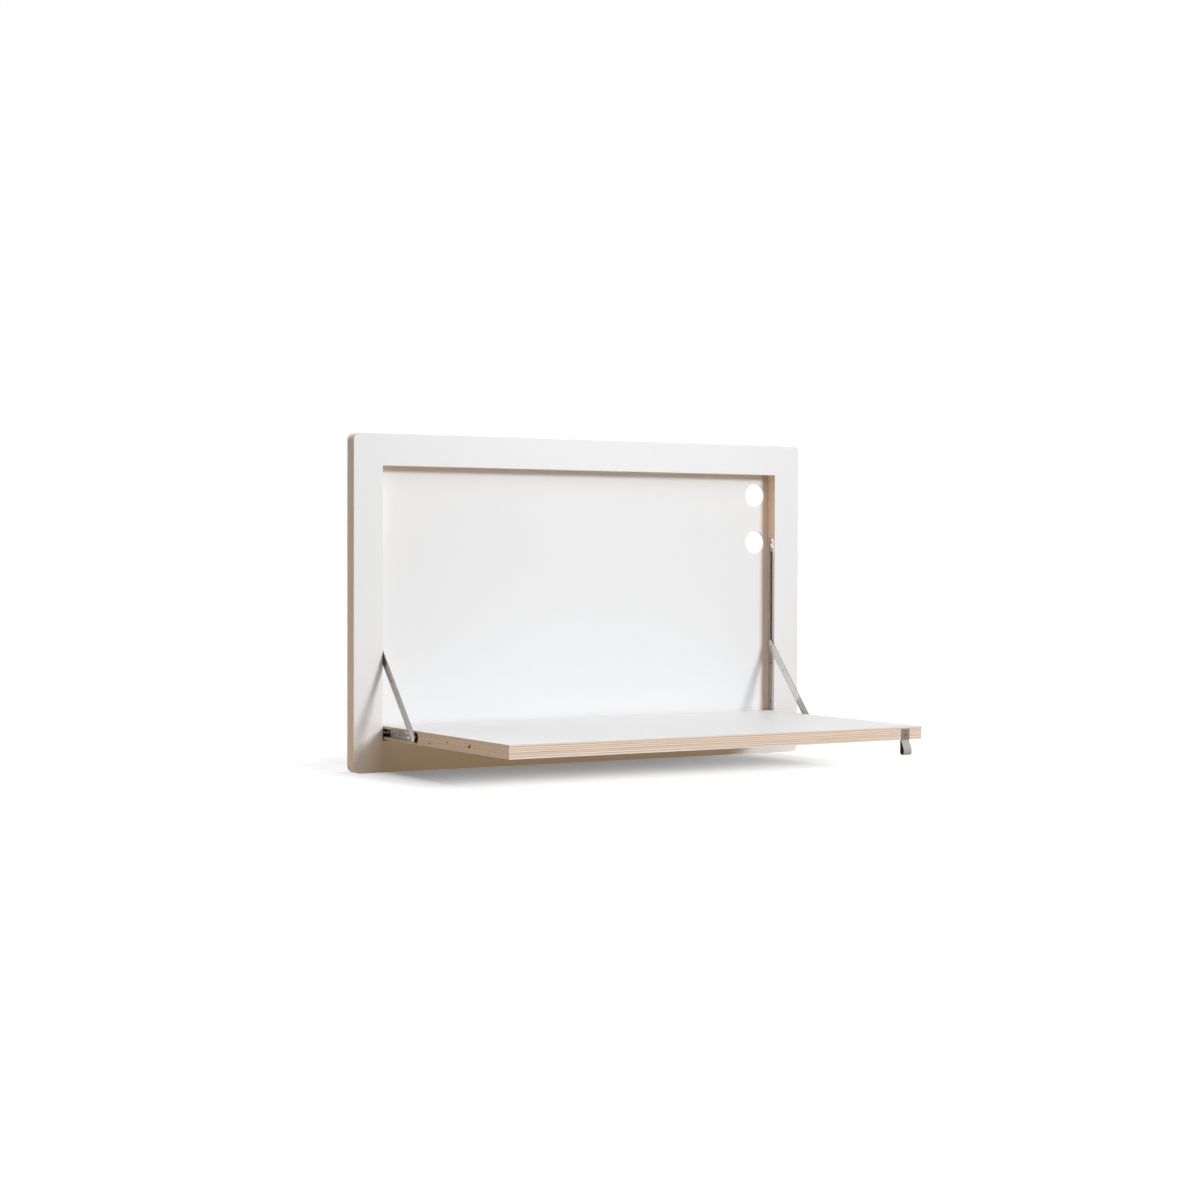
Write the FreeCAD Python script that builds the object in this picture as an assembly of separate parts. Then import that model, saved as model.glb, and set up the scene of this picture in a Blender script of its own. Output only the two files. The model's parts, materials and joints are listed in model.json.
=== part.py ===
import FreeCAD, Part

import math
import os

# A wall mounted drop leaf table, in millimetres, with its leaf open.
# Origin: centre of the rear face, which lies on the wall.
# +X is to the right as one faces the table, +Y into the wall, +Z up.
#
# A laminated plywood frame carries a leaf cut from the same board. The leaf turns on two pins
# at its heel. A steel stay at each side holds it level: the foot of the stay's arm turns on a
# rivet in the leaf's side edge, and the arm's head turns on a slider that rests at the bottom
# of a slotted rail in the frame and runs up it as the leaf closes.

# ---- Boards
FRAME_W = 800.0            # overall width
FRAME_H = 500.0            # overall height
BORDER_W = 47.0            # width of the frame's stiles and rails
CORNER_R = 10.0            # outer corners of the frame
CORE_T = 18.0              # birch plywood
LAMINATE_T = 0.8           # laminate on each face
PANEL_BOARD_T = 2.2        # thin plywood of the back panel
EDGE_EASE = 0.3            # bevel on the frame's front edges

# ---- Gaps round the leaf
LEAF_BACK_GAP = 0.5        # heel to back panel
LEAF_HEEL_GAP = 2.0        # heel to bottom rail
LEAF_TIP_GAP = 2.0         # tip to top rail, closed
ARM_STILE_GAP = 0.4        # arm to stile
RIVET_LEAF_GAP = 0.4       # arm's rivet head to leaf edge, as they pass

# ---- Stays
STAY_ON_LEAF = 107.0       # hinge pin to the arm's foot
STAY_ON_STILE = 119.5      # hinge pin to the arm's head, leaf open
ARM_W = 13.0
ARM_T = 1.5
ARM_HOLE_R = 1.5           # small open hole in the arm
ARM_HOLE_FROM_HEAD = 56.3
RIVET_R = 2.0              # shank of the rivets at both ends of the arm
RIVET_HEAD_R = 3.5
RIVET_HEAD_T = 0.5
FOOT_HEAD_R = 3.2          # countersunk head of the foot rivet
FOOT_HEAD_T = 1.1
WASHER_R = 4.5
NECK_R = 2.1               # slider's neck, in the rail's slot
SLIDER_HEAD_R = 4.0        # slider's head, in the groove behind the rail
SLIDER_HEAD_T = 2.4

# ---- Rails in the stiles
RAIL_MARGIN = 2.0               # plywood left on each side of the rail
RAIL_T = 2.0
TOP_SCREW_PAST_SLIDER = 17.3    # above the slider's highest place
MID_SCREW_BELOW_SLIDER = 31.9   # below the slider's lowest place
LOW_SCREW_FROM_HINGE = 24.0

# ---- Hinge plates in the leaf's side edges
LEAF_PLATE_W = 11.5
LEAF_PLATE_T = 2.0
EYE_SET_BACK = 4.0         # the hinge eye lies this much deeper than the rest of the plate
CRANK_START = 22.0         # hinge pin to the crank's inner end
CRANK_LENGTH = 8.0
SCREW_PAST_CRANK = 7.5     # the plate's inner screw
SCREW_SHORT_OF_FOOT = 46.2  # its outer screw
POCKET_PAST_FOOT = 6.25    # round pocket at the plate's outer end
POCKET_MARGIN = 1.25       # plywood left above and below it
POCKET_DEPTH = 5.0
PIN_R = 2.5
PIN_HEAD_R = 4.0
PIN_HEAD_T = 1.0
BUSH_R = 4.5

# ---- Catch magnets in the leaf's side edges
MAGNET_R = 2.5
MAGNET_LENGTH = 10.0
MAGNET_PAST_SLIDER = 12.6  # above the slider's highest place, leaf closed

# ---- Pull strap on the leaf's front edge
STRAP_W = 15.0
STRAP_T = 1.2
STRAP_INSET = 30.6         # leaf's right edge to the strap's centre
STRAP_TOP_DROP = 4.0       # leaf's top face to the strap's upper end
STRAP_HANG = 22.0          # loop below the leaf's underside
STRAP_BULGE = 6.0          # loop in front of the leaf's edge
STRAP_SHOULDER_R = 9.0     # bend where the loop leaves the edge
STRAP_SHOULDER_SLIP = 1.0  # height of that bend below the leaf's underside
STRAP_BELLY_R = 10.0       # bend at the loop's widest place
STRAP_BELLY_RISE = 8.0     # height of that bend above the bottom of the loop
STRAP_BOTTOM_FLAT = 0.8    # straight stretch between the two bottom bends
STRAP_LAYER_GAP = 0.1      # between the two layers under the screw
STRAP_RECESS_GAP = 0.2     # strap's face below the leaf's edge
STRAP_SCREW_DROP = 11.6    # leaf's top face to the screw
STRAP_SCREW_HEAD_R = 2.8
STRAP_SCREW_HEAD_T = 1.2

# ---- Cable holes in the back panel
CABLE_HOLE_R = 19.0
CABLE_HOLE_INSET = 26.0    # opening's right side to the centres
CABLE_HOLE_DROP = 33.0     # opening's top to the upper centre
CABLE_HOLE_PITCH = 76.6

# ---- Keyhole hangers in the rear of the stiles
HANGER_W = 18.0
HANGER_CORNER_R = 3.0
HANGER_DROP = 65.0         # frame's top to the entry hole
HANGER_ENTRY_R = 4.5
HANGER_NECK_R = 2.25
HANGER_NECK_RISE = 10.0    # entry hole to the seat of the wall screw
HANGER_CAVITY_ROOM = 1.0   # cavity round the entry hole
HANGER_CAVITY_DEPTH = 6.0
HANGER_WEB = 2.0           # wood between the cavity and the fixing screw
HANGER_RIM = 3.0           # plate past the screw's head

# ---- Screws
SCREW_R = 1.5
SCREW_HEAD_R = 3.0
SCREW_LENGTH = 16.0
SCREW_TIP = 4.0
PANEL_SCREW_LENGTH = 14.0
PANEL_SCREWS_ALONG = 5     # along the top and along the bottom
PANEL_SCREWS_UP = 2        # up each stile, between the corners
DRIVE_W = 0.7              # cross recess
DRIVE_SPAN = 3.0
DRIVE_DEPTH = 0.9

# ---- Fits
FIXED_CLEAR = 0.02         # pieces that don't move on each other
SCREW_CLEAR = 0.05
PIVOT_CLEAR = 0.05         # radial, round rivets and hinge pins
FACE_CLEAR = 0.1           # between faces that turn on each other
SLOT_CLEAR = 0.2           # slider's neck in its slot
HEAD_CLEAR = 0.3           # slider's head in its groove, and its end short of the arm
RECESS_CLEAR = 0.25        # round the plates let into the wood
STRAP_SIDE_CLEAR = 0.4
POCKET_FLOOR_CLEAR = 0.4

# ---- Worked out from the above
BOARD_T = CORE_T + 2 * LAMINATE_T
PANEL_T = PANEL_BOARD_T + LAMINATE_T
PANEL_FRONT_Y = -PANEL_T
CORE_BACK_Y = PANEL_FRONT_Y - LAMINATE_T
CORE_FRONT_Y = CORE_BACK_Y - CORE_T
FACE_Y = CORE_FRONT_Y - LAMINATE_T
OPENING_W = FRAME_W - 2 * BORDER_W
OPENING_H = FRAME_H - 2 * BORDER_W
STILE_X = OPENING_W / 2
STILE_CENTRE_X = (FRAME_W - BORDER_W) / 2
RAIL_W = CORE_T - 2 * RAIL_MARGIN
POCKET_R = CORE_T / 2 - POCKET_MARGIN
LEAF_SIDE_GAP = ARM_STILE_GAP + ARM_T + RIVET_HEAD_T + RIVET_LEAF_GAP
LEAF_EDGE_X = STILE_X - LEAF_SIDE_GAP
HINGE_Y = PANEL_FRONT_Y - LEAF_BACK_GAP - BOARD_T / 2
HINGE_Z = -OPENING_H / 2 + LEAF_HEEL_GAP + BOARD_T / 2
LEAF_TIP_Y = HINGE_Y - (OPENING_H / 2 - LEAF_TIP_GAP - HINGE_Z)
LEAF_TOP_Z = HINGE_Z + BOARD_T / 2
LEAF_UNDER_Z = HINGE_Z - BOARD_T / 2
ARM_LENGTH = math.hypot(STAY_ON_LEAF, STAY_ON_STILE)
SLIDER_TRAVEL = STAY_ON_LEAF + ARM_LENGTH - STAY_ON_STILE
MAGNET_FROM_HINGE = STAY_ON_LEAF + ARM_LENGTH + MAGNET_PAST_SLIDER
PLATE_SCREW_DISTANCES = (CRANK_START + CRANK_LENGTH + SCREW_PAST_CRANK,
                         STAY_ON_LEAF - SCREW_SHORT_OF_FOOT)
ARM_OUTER_X = STILE_X - ARM_STILE_GAP
ARM_INNER_X = ARM_OUTER_X - ARM_T
RAIL_BACK_X = STILE_X + RAIL_T
PLATE_BACK_X = LEAF_EDGE_X - LEAF_PLATE_T
EYE_FACE_X = LEAF_EDGE_X - EYE_SET_BACK
EYE_BACK_X = EYE_FACE_X - LEAF_PLATE_T
STRAP_X = LEAF_EDGE_X - STRAP_INSET
STRAP_FLOOR_Y = LEAF_TIP_Y + 2 * STRAP_T + STRAP_LAYER_GAP + STRAP_RECESS_GAP
STRAP_TOP_Z = LEAF_TOP_Z - STRAP_TOP_DROP
STRAP_SCREW_Z = LEAF_TOP_Z - STRAP_SCREW_DROP
HANGER_Z = FRAME_H / 2 - HANGER_DROP
HANGER_CAVITY_R = HANGER_ENTRY_R + HANGER_CAVITY_ROOM
HANGER_SCREW_REACH = HANGER_NECK_RISE + HANGER_CAVITY_R + HANGER_WEB + SCREW_R
HANGER_HALF_H = HANGER_SCREW_REACH + SCREW_HEAD_R + HANGER_RIM

# Points in the side view, each (y, z)
HINGE = (HINGE_Y, HINGE_Z)
ARM_FOOT = (HINGE_Y - STAY_ON_LEAF, HINGE_Z)
SLIDER_LOW = (HINGE_Y, HINGE_Z + STAY_ON_STILE)
SLIDER_HIGH = (HINGE_Y, SLIDER_LOW[1] + SLIDER_TRAVEL)
RAIL_TOP_SCREW = (HINGE_Y, SLIDER_HIGH[1] + TOP_SCREW_PAST_SLIDER)
RAIL_MID_SCREW = (HINGE_Y, SLIDER_LOW[1] - MID_SCREW_BELOW_SLIDER)
RAIL_LOW_SCREW = (HINGE_Y, HINGE_Z + LOW_SCREW_FROM_HINGE)


def point(x, yz):
    """A point from its x and its place in the side view."""
    return FreeCAD.Vector(x, yz[0], yz[1])


def on_leaf(distance):
    """The side view point at this distance from the hinge, along the middle of the open leaf."""
    return (HINGE_Y - distance, HINGE_Z)


def box(low, high):
    """A box between its lowest and its highest corner."""
    size = [b - a for a, b in zip(low, high)]
    return Part.makeBox(size[0], size[1], size[2], FreeCAD.Vector(*low))


def rod(start, end, radius):
    """A round bar between two points."""
    axis = end.sub(start)
    return Part.makeCylinder(radius, axis.Length, start, axis)


def x_rod(yz, x0, x1, radius):
    """A round bar along X."""
    return rod(point(x0, yz), point(x1, yz), radius)


def extruded(edges, x0, x1):
    """The area inside a closed loop of side view edges at x = 0, swept from x0 to x1."""
    face = Part.Face(Part.Wire(edges))
    face.translate(FreeCAD.Vector(x0, 0, 0))
    return face.extrude(FreeCAD.Vector(x1 - x0, 0, 0))


def round_ended(a, b, width, x0, x1):
    """A flat bar whose ends are round about the side view points a and b."""
    start = point(0, a)
    end = point(0, b)
    cap = end.sub(start)
    cap.normalize()
    cap.multiply(width / 2)
    across = FreeCAD.Vector(0, -cap.z, cap.y)
    edges = [
        Part.makeLine(start.add(across), end.add(across)),
        Part.Arc(end.add(across), end.add(cap), end.sub(across)).toShape(),
        Part.makeLine(end.sub(across), start.sub(across)),
        Part.Arc(start.sub(across), start.sub(cap), start.add(across)).toShape(),
    ]
    return extruded(edges, x0, x1)


def both_sides(shape):
    """The left and the right one of a piece that is drawn on the right."""
    left = shape.mirror(FreeCAD.Vector(0, 0, 0), FreeCAD.Vector(1, 0, 0))
    return [left, shape]


def cut_all(shape, tools):
    """The shape with every tool cut out of it."""
    return shape.cut(Part.makeCompound(tools))


def along(shape, origin, direction):
    """A shape drawn about the Z axis, put at the origin given and turned to face the direction."""
    turn = FreeCAD.Rotation(FreeCAD.Vector(0, 0, 1), direction)
    shape.Placement = FreeCAD.Placement(origin, turn)
    return shape


def cross_recess():
    """The cross of a screwdriver's tip, cut down from z = 0."""
    wing = box([-DRIVE_SPAN / 2, -DRIVE_W / 2, 0], [DRIVE_SPAN / 2, DRIVE_W / 2, DRIVE_DEPTH])
    other = box([-DRIVE_W / 2, -DRIVE_SPAN / 2, 0], [DRIVE_W / 2, DRIVE_SPAN / 2, DRIVE_DEPTH])
    return wing.fuse(other)


def screw_body(head_r, shank_r, length):
    """A countersunk screw about Z, its flat top at z = 0 and its tip at z = length."""
    head_t = head_r - shank_r
    head = Part.makeCone(head_r, shank_r, head_t)
    shank = Part.makeCylinder(shank_r, length - head_t - SCREW_TIP, FreeCAD.Vector(0, 0, head_t))
    tip_start = FreeCAD.Vector(0, 0, length - SCREW_TIP)
    tip = Part.makeCone(shank_r, shank_r / 4, SCREW_TIP, tip_start)
    return head.fuse([shank, tip]).removeSplitter()


def screw(origin, direction, length):
    """A countersunk wood screw with a cross recess."""
    body = screw_body(SCREW_HEAD_R, SCREW_R, length).cut(cross_recess())
    return along(body, origin, direction)


def screw_hole(origin, direction, length):
    """The hole that a countersunk screw sits in."""
    body = screw_body(SCREW_HEAD_R + SCREW_CLEAR, SCREW_R + SCREW_CLEAR, length + SCREW_CLEAR)
    return along(body, origin, direction)


# ---- Where the screws and the pins are

def rail_screw_places():
    """Heads of the right rail's screws, on the stile's inner face."""
    return [point(STILE_X, yz) for yz in (RAIL_TOP_SCREW, RAIL_MID_SCREW, RAIL_LOW_SCREW)]


def plate_screw_places():
    """Heads of the right hinge plate's screws, on the leaf's side edge."""
    return [point(LEAF_EDGE_X, on_leaf(s)) for s in PLATE_SCREW_DISTANCES]


def hanger_screw_places():
    """Heads of the right hanger's screws, on the rear face."""
    heights = (HANGER_Z - HANGER_SCREW_REACH, HANGER_Z + HANGER_SCREW_REACH)
    return [FreeCAD.Vector(STILE_CENTRE_X, 0, z) for z in heights]


def panel_screw_places():
    """Heads of the back panel's screws, along the middle of the frame's border."""
    top_z = (FRAME_H - BORDER_W) / 2
    step_x = 2 * STILE_CENTRE_X / (PANEL_SCREWS_ALONG - 1)
    step_z = 2 * top_z / (PANEL_SCREWS_UP + 1)
    places = []
    for column in range(PANEL_SCREWS_ALONG):
        x = -STILE_CENTRE_X + column * step_x
        places += [FreeCAD.Vector(x, 0, -top_z), FreeCAD.Vector(x, 0, top_z)]
    for row in range(1, PANEL_SCREWS_UP + 1):
        z = -top_z + row * step_z
        places += [FreeCAD.Vector(-STILE_CENTRE_X, 0, z), FreeCAD.Vector(STILE_CENTRE_X, 0, z)]
    return places


INTO_STILE = FreeCAD.Vector(1, 0, 0)
INTO_LEAF = FreeCAD.Vector(-1, 0, 0)
FROM_REAR = FreeCAD.Vector(0, -1, 0)
FROM_FRONT = FreeCAD.Vector(0, 1, 0)


# ---- Frame

def upright_board(y0, y1):
    """A board as large as the frame, with its rounded corners, between two depths."""
    blank = box([-FRAME_W / 2, y0, -FRAME_H / 2], [FRAME_W / 2, y1, FRAME_H / 2])
    corners = [e for e in blank.Edges if abs(e.tangentAt(e.FirstParameter).y) > 0.9]
    return blank.makeFillet(CORNER_R, corners)


def frame_layer(y0, y1):
    """One layer of the frame's board, with the opening for the leaf."""
    opening = box([-STILE_X, y0, -OPENING_H / 2], [STILE_X, y1, OPENING_H / 2])
    return upright_board(y0, y1).cut(opening)


def hanger_cavity():
    """Room for the wall screw's head, behind the right hanger plate."""
    low = FreeCAD.Vector(STILE_CENTRE_X, PANEL_FRONT_Y, HANGER_Z)
    high = FreeCAD.Vector(STILE_CENTRE_X, PANEL_FRONT_Y, HANGER_Z + HANGER_NECK_RISE)
    inward = FreeCAD.Vector(0, -HANGER_CAVITY_DEPTH, 0)
    middle = box([STILE_CENTRE_X - HANGER_CAVITY_R, PANEL_FRONT_Y - HANGER_CAVITY_DEPTH, low.z],
                 [STILE_CENTRE_X + HANGER_CAVITY_R, PANEL_FRONT_Y, high.z])
    ends = [rod(p, p.add(inward), HANGER_CAVITY_R) for p in (low, high)]
    return middle.fuse(ends)


def rear_cuts():
    """What the hangers and the panel's screws cut out of the layers they pass through."""
    cuts = both_sides(hanger_cavity())
    for place in hanger_screw_places():
        cuts += both_sides(screw_hole(place, FROM_REAR, SCREW_LENGTH))
    cuts += [screw_hole(place, FROM_REAR, PANEL_SCREW_LENGTH) for place in panel_screw_places()]
    return cuts


def rail_cuts():
    """The right stile's recess for its rail, the slider's groove and the screws' holes."""
    recess_w = RAIL_W + 2 * RECESS_CLEAR
    groove_w = 2 * (SLIDER_HEAD_R + HEAD_CLEAR)
    groove_floor_x = RAIL_BACK_X + SLIDER_HEAD_T + 2 * HEAD_CLEAR
    cuts = [round_ended(HINGE, RAIL_TOP_SCREW, recess_w, STILE_X, RAIL_BACK_X)]
    cuts += [round_ended(SLIDER_LOW, SLIDER_HIGH, groove_w, RAIL_BACK_X, groove_floor_x)]
    cuts += [screw_hole(place, INTO_STILE, SCREW_LENGTH) for place in rail_screw_places()]
    return cuts


def frame_core():
    """The frame's plywood."""
    cuts = rear_cuts()
    for cut in rail_cuts():
        cuts += both_sides(cut)
    return cut_all(frame_layer(CORE_FRONT_Y, CORE_BACK_Y), cuts)


def frame_front_laminate():
    """The white face of the frame, with eased front edges."""
    layer = frame_layer(FACE_Y, CORE_FRONT_Y)
    front = [e for e in layer.Edges if abs(e.BoundBox.YMax - FACE_Y) < EDGE_EASE / 10]
    return layer.makeChamfer(EDGE_EASE, front)


def frame_back_laminate():
    """The balancing laminate on the frame's rear."""
    return cut_all(frame_layer(CORE_BACK_Y, PANEL_FRONT_Y), rear_cuts())


def rounded_plate(y0, y1):
    """The right hanger's outline between two depths."""
    low = [STILE_CENTRE_X - HANGER_W / 2, y0, HANGER_Z - HANGER_HALF_H]
    high = [STILE_CENTRE_X + HANGER_W / 2, y1, HANGER_Z + HANGER_HALF_H]
    blank = box(low, high)
    corners = [e for e in blank.Edges if abs(e.tangentAt(e.FirstParameter).y) > 0.9]
    return blank.makeFillet(HANGER_CORNER_R, corners)


def panel_layer(y0, y1):
    """One layer of the back panel, with its cable holes, hanger cut-outs and screw holes."""
    layer = upright_board(y0, y1)
    cuts = both_sides(rounded_plate(y0, y1))
    upper_z = OPENING_H / 2 - CABLE_HOLE_DROP
    for z in (upper_z, upper_z - CABLE_HOLE_PITCH):
        start = FreeCAD.Vector(STILE_X - CABLE_HOLE_INSET, y0, z)
        end = FreeCAD.Vector(STILE_X - CABLE_HOLE_INSET, y1, z)
        cuts += [rod(start, end, CABLE_HOLE_R)]
    cuts += [screw_hole(place, FROM_REAR, PANEL_SCREW_LENGTH) for place in panel_screw_places()]
    return cut_all(layer, cuts)


def hanger_plate():
    """The right keyhole plate: flush with the rear face and as thick as the back panel."""
    plate = rounded_plate(PANEL_FRONT_Y, 0)
    entry = FreeCAD.Vector(STILE_CENTRE_X, PANEL_FRONT_Y, HANGER_Z)
    seat = entry.add(FreeCAD.Vector(0, 0, HANGER_NECK_RISE))
    through = FreeCAD.Vector(0, PANEL_T, 0)
    neck = box([STILE_CENTRE_X - HANGER_NECK_R, PANEL_FRONT_Y, HANGER_Z],
               [STILE_CENTRE_X + HANGER_NECK_R, 0, HANGER_Z + HANGER_NECK_RISE])
    cuts = [rod(entry, entry.add(through), HANGER_ENTRY_R), neck,
            rod(seat, seat.add(through), HANGER_NECK_R)]
    cuts += [screw_hole(place, FROM_REAR, SCREW_LENGTH) for place in hanger_screw_places()]
    return cut_all(plate, cuts)


# ---- Rails, sliders and hinge pins, drawn on the right

def stay_rail():
    """The slotted steel rail that is let into the stile."""
    plate = round_ended(HINGE, RAIL_TOP_SCREW, RAIL_W, STILE_X, RAIL_BACK_X)
    slot_w = 2 * (NECK_R + SLOT_CLEAR)
    cuts = [round_ended(SLIDER_LOW, SLIDER_HIGH, slot_w, STILE_X, RAIL_BACK_X)]
    cuts += [x_rod(HINGE, STILE_X, RAIL_BACK_X, PIN_R + FIXED_CLEAR)]
    cuts += [screw_hole(place, INTO_STILE, SCREW_LENGTH) for place in rail_screw_places()]
    return cut_all(plate, cuts)


def slider():
    """The slider: a head behind the rail, and a neck through the slot towards the arm."""
    head_x = RAIL_BACK_X + HEAD_CLEAR
    head = x_rod(SLIDER_LOW, head_x, head_x + SLIDER_HEAD_T, SLIDER_HEAD_R)
    neck = x_rod(SLIDER_LOW, ARM_OUTER_X + HEAD_CLEAR, head_x, NECK_R)
    return head.fuse(neck)


def hinge_pin():
    """The pin that is riveted into the rail and carries the leaf's hinge eye."""
    head_x = EYE_BACK_X - FACE_CLEAR
    shank = x_rod(HINGE, head_x, RAIL_BACK_X, PIN_R)
    head = x_rod(HINGE, head_x - PIN_HEAD_T, head_x, PIN_HEAD_R)
    return shank.fuse(head)


def hinge_bush():
    """The spacer between the rail and the set-back hinge eye."""
    start = EYE_FACE_X + FACE_CLEAR
    outside = x_rod(HINGE, start, STILE_X, BUSH_R)
    return outside.cut(x_rod(HINGE, start, STILE_X, PIN_R + FIXED_CLEAR))


# ---- Leaf

def leaf_blank():
    """The whole leaf board: square at the tip and half round at the heel."""
    heel_top = point(0, (HINGE_Y, LEAF_TOP_Z))
    heel_under = point(0, (HINGE_Y, LEAF_UNDER_Z))
    heel_back = point(0, (HINGE_Y + BOARD_T / 2, HINGE_Z))
    tip_top = point(0, (LEAF_TIP_Y, LEAF_TOP_Z))
    tip_under = point(0, (LEAF_TIP_Y, LEAF_UNDER_Z))
    edges = [
        Part.makeLine(heel_top, tip_top),
        Part.makeLine(tip_top, tip_under),
        Part.makeLine(tip_under, heel_under),
        Part.Arc(heel_under, heel_back, heel_top).toShape(),
    ]
    return extruded(edges, -LEAF_EDGE_X, LEAF_EDGE_X)


def strap_recess():
    """The shallow notch in the leaf's front edge that the strap's two layers lie in."""
    half_w = STRAP_W / 2 + STRAP_SIDE_CLEAR
    return box([STRAP_X - half_w, LEAF_TIP_Y, LEAF_UNDER_Z],
               [STRAP_X + half_w, STRAP_FLOOR_Y, STRAP_TOP_Z + STRAP_SIDE_CLEAR])


def leaf_layer(z0, z1):
    """One layer of the leaf's board, between two heights."""
    slab = box([-LEAF_EDGE_X, LEAF_TIP_Y, z0], [LEAF_EDGE_X, HINGE_Y + BOARD_T / 2, z1])
    return leaf_blank().common(slab).cut(strap_recess())


def leaf_edge_cuts():
    """What the right hinge plate, its screws, the rivet and the magnet cut out of the leaf."""
    recess_w = LEAF_PLATE_W + 2 * RECESS_CLEAR
    crank_end = on_leaf(CRANK_START + CRANK_LENGTH)
    eye_floor_x = EYE_BACK_X - FACE_CLEAR - PIN_HEAD_T - POCKET_FLOOR_CLEAR
    rivet_floor_x = PLATE_BACK_X - RIVET_HEAD_T - POCKET_FLOOR_CLEAR
    pocket = on_leaf(STAY_ON_LEAF + POCKET_PAST_FOOT)
    magnet = on_leaf(MAGNET_FROM_HINGE)
    cuts = [
        round_ended(HINGE, ARM_FOOT, recess_w, PLATE_BACK_X, LEAF_EDGE_X),
        round_ended(HINGE, crank_end, recess_w, eye_floor_x, PLATE_BACK_X),
        x_rod(pocket, LEAF_EDGE_X - POCKET_DEPTH, LEAF_EDGE_X, POCKET_R),
        x_rod(ARM_FOOT, rivet_floor_x, PLATE_BACK_X, RIVET_HEAD_R + RECESS_CLEAR),
        x_rod(magnet, LEAF_EDGE_X - MAGNET_LENGTH, LEAF_EDGE_X, MAGNET_R + FIXED_CLEAR),
    ]
    cuts += [screw_hole(place, INTO_LEAF, SCREW_LENGTH) for place in plate_screw_places()]
    return cuts


def leaf_core():
    """The leaf's plywood."""
    cuts = []
    for cut in leaf_edge_cuts():
        cuts += both_sides(cut)
    core = leaf_layer(LEAF_UNDER_Z + LAMINATE_T, LEAF_TOP_Z - LAMINATE_T)
    strap_hole = rod(strap_screw_seat(), strap_screw_end(), SCREW_R + SCREW_CLEAR)
    return cut_all(core, cuts + [strap_hole])


def leaf_plate():
    """The right hinge plate: cranked inwards to its hinge eye, and round at both ends."""
    crank_end = CRANK_START + CRANK_LENGTH
    eye_end = -LEAF_PLATE_W / 2
    foot_end = STAY_ON_LEAF + LEAF_PLATE_W / 2
    bends = [(eye_end, EYE_FACE_X), (CRANK_START, EYE_FACE_X), (crank_end, LEAF_EDGE_X),
             (foot_end, LEAF_EDGE_X)]
    under_z = HINGE_Z - LEAF_PLATE_W / 2
    outer = [FreeCAD.Vector(x, HINGE_Y - s, under_z) for s, x in bends]
    inner = [FreeCAD.Vector(x - LEAF_PLATE_T, HINGE_Y - s, under_z) for s, x in bends]
    loop = outer + inner[::-1] + outer[:1]
    strip = Part.Face(Part.makePolygon(loop)).extrude(FreeCAD.Vector(0, 0, LEAF_PLATE_W))
    plate = strip.common(round_ended(HINGE, ARM_FOOT, LEAF_PLATE_W, EYE_BACK_X, LEAF_EDGE_X))
    cuts = [
        x_rod(HINGE, EYE_BACK_X, EYE_FACE_X, PIN_R + PIVOT_CLEAR),
        x_rod(ARM_FOOT, PLATE_BACK_X, LEAF_EDGE_X, RIVET_R + FIXED_CLEAR),
    ]
    cuts += [screw_hole(place, INTO_LEAF, SCREW_LENGTH) for place in plate_screw_places()]
    return cut_all(plate, cuts)


def catch_magnet():
    """The ferrite magnet that holds the closed leaf to the rail's steel top."""
    place = on_leaf(MAGNET_FROM_HINGE)
    return x_rod(place, LEAF_EDGE_X - MAGNET_LENGTH, LEAF_EDGE_X, MAGNET_R)


# ---- Stay arms, drawn on the right

def countersunk_end(yz, clear):
    """A flush rivet end in the arm's outer face, or with a clearance the seat for it."""
    face = point(ARM_OUTER_X, yz)
    return Part.makeCone(FOOT_HEAD_R + clear, RIVET_R + clear, FOOT_HEAD_T, face, INTO_LEAF)


def stay_arm():
    """The flat steel arm, from its foot on the leaf to its head on the slider."""
    bar = round_ended(ARM_FOOT, SLIDER_LOW, ARM_W, ARM_INNER_X, ARM_OUTER_X)
    share = ARM_HOLE_FROM_HEAD / ARM_LENGTH
    small_hole = tuple(h + share * (f - h) for h, f in zip(SLIDER_LOW, ARM_FOOT))
    cuts = [
        x_rod(ARM_FOOT, ARM_INNER_X, ARM_OUTER_X, RIVET_R + PIVOT_CLEAR),
        countersunk_end(ARM_FOOT, PIVOT_CLEAR),
        x_rod(SLIDER_LOW, ARM_INNER_X, ARM_OUTER_X, RIVET_R + FIXED_CLEAR),
        x_rod(small_hole, ARM_INNER_X, ARM_OUTER_X, ARM_HOLE_R),
    ]
    return cut_all(bar, cuts)


def head_rivet():
    """The rivet in the arm's head, with its low head on the side of the leaf."""
    shank = x_rod(SLIDER_LOW, ARM_INNER_X, ARM_OUTER_X, RIVET_R)
    return shank.fuse(x_rod(SLIDER_LOW, ARM_INNER_X - RIVET_HEAD_T, ARM_INNER_X, RIVET_HEAD_R))


def foot_rivet():
    """The rivet that joins the arm's foot to the hinge plate, flush with the arm's outside."""
    shank = x_rod(ARM_FOOT, PLATE_BACK_X, ARM_OUTER_X, RIVET_R)
    inner_head = x_rod(ARM_FOOT, PLATE_BACK_X - RIVET_HEAD_T, PLATE_BACK_X, RIVET_HEAD_R)
    return shank.fuse([inner_head, countersunk_end(ARM_FOOT, 0)])


def foot_washer():
    """The washer that keeps the arm off the leaf."""
    end = ARM_INNER_X - FACE_CLEAR
    disc = x_rod(ARM_FOOT, LEAF_EDGE_X, end, WASHER_R)
    return disc.cut(x_rod(ARM_FOOT, LEAF_EDGE_X, end, RIVET_R + FIXED_CLEAR))


# ---- Pull strap

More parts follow.
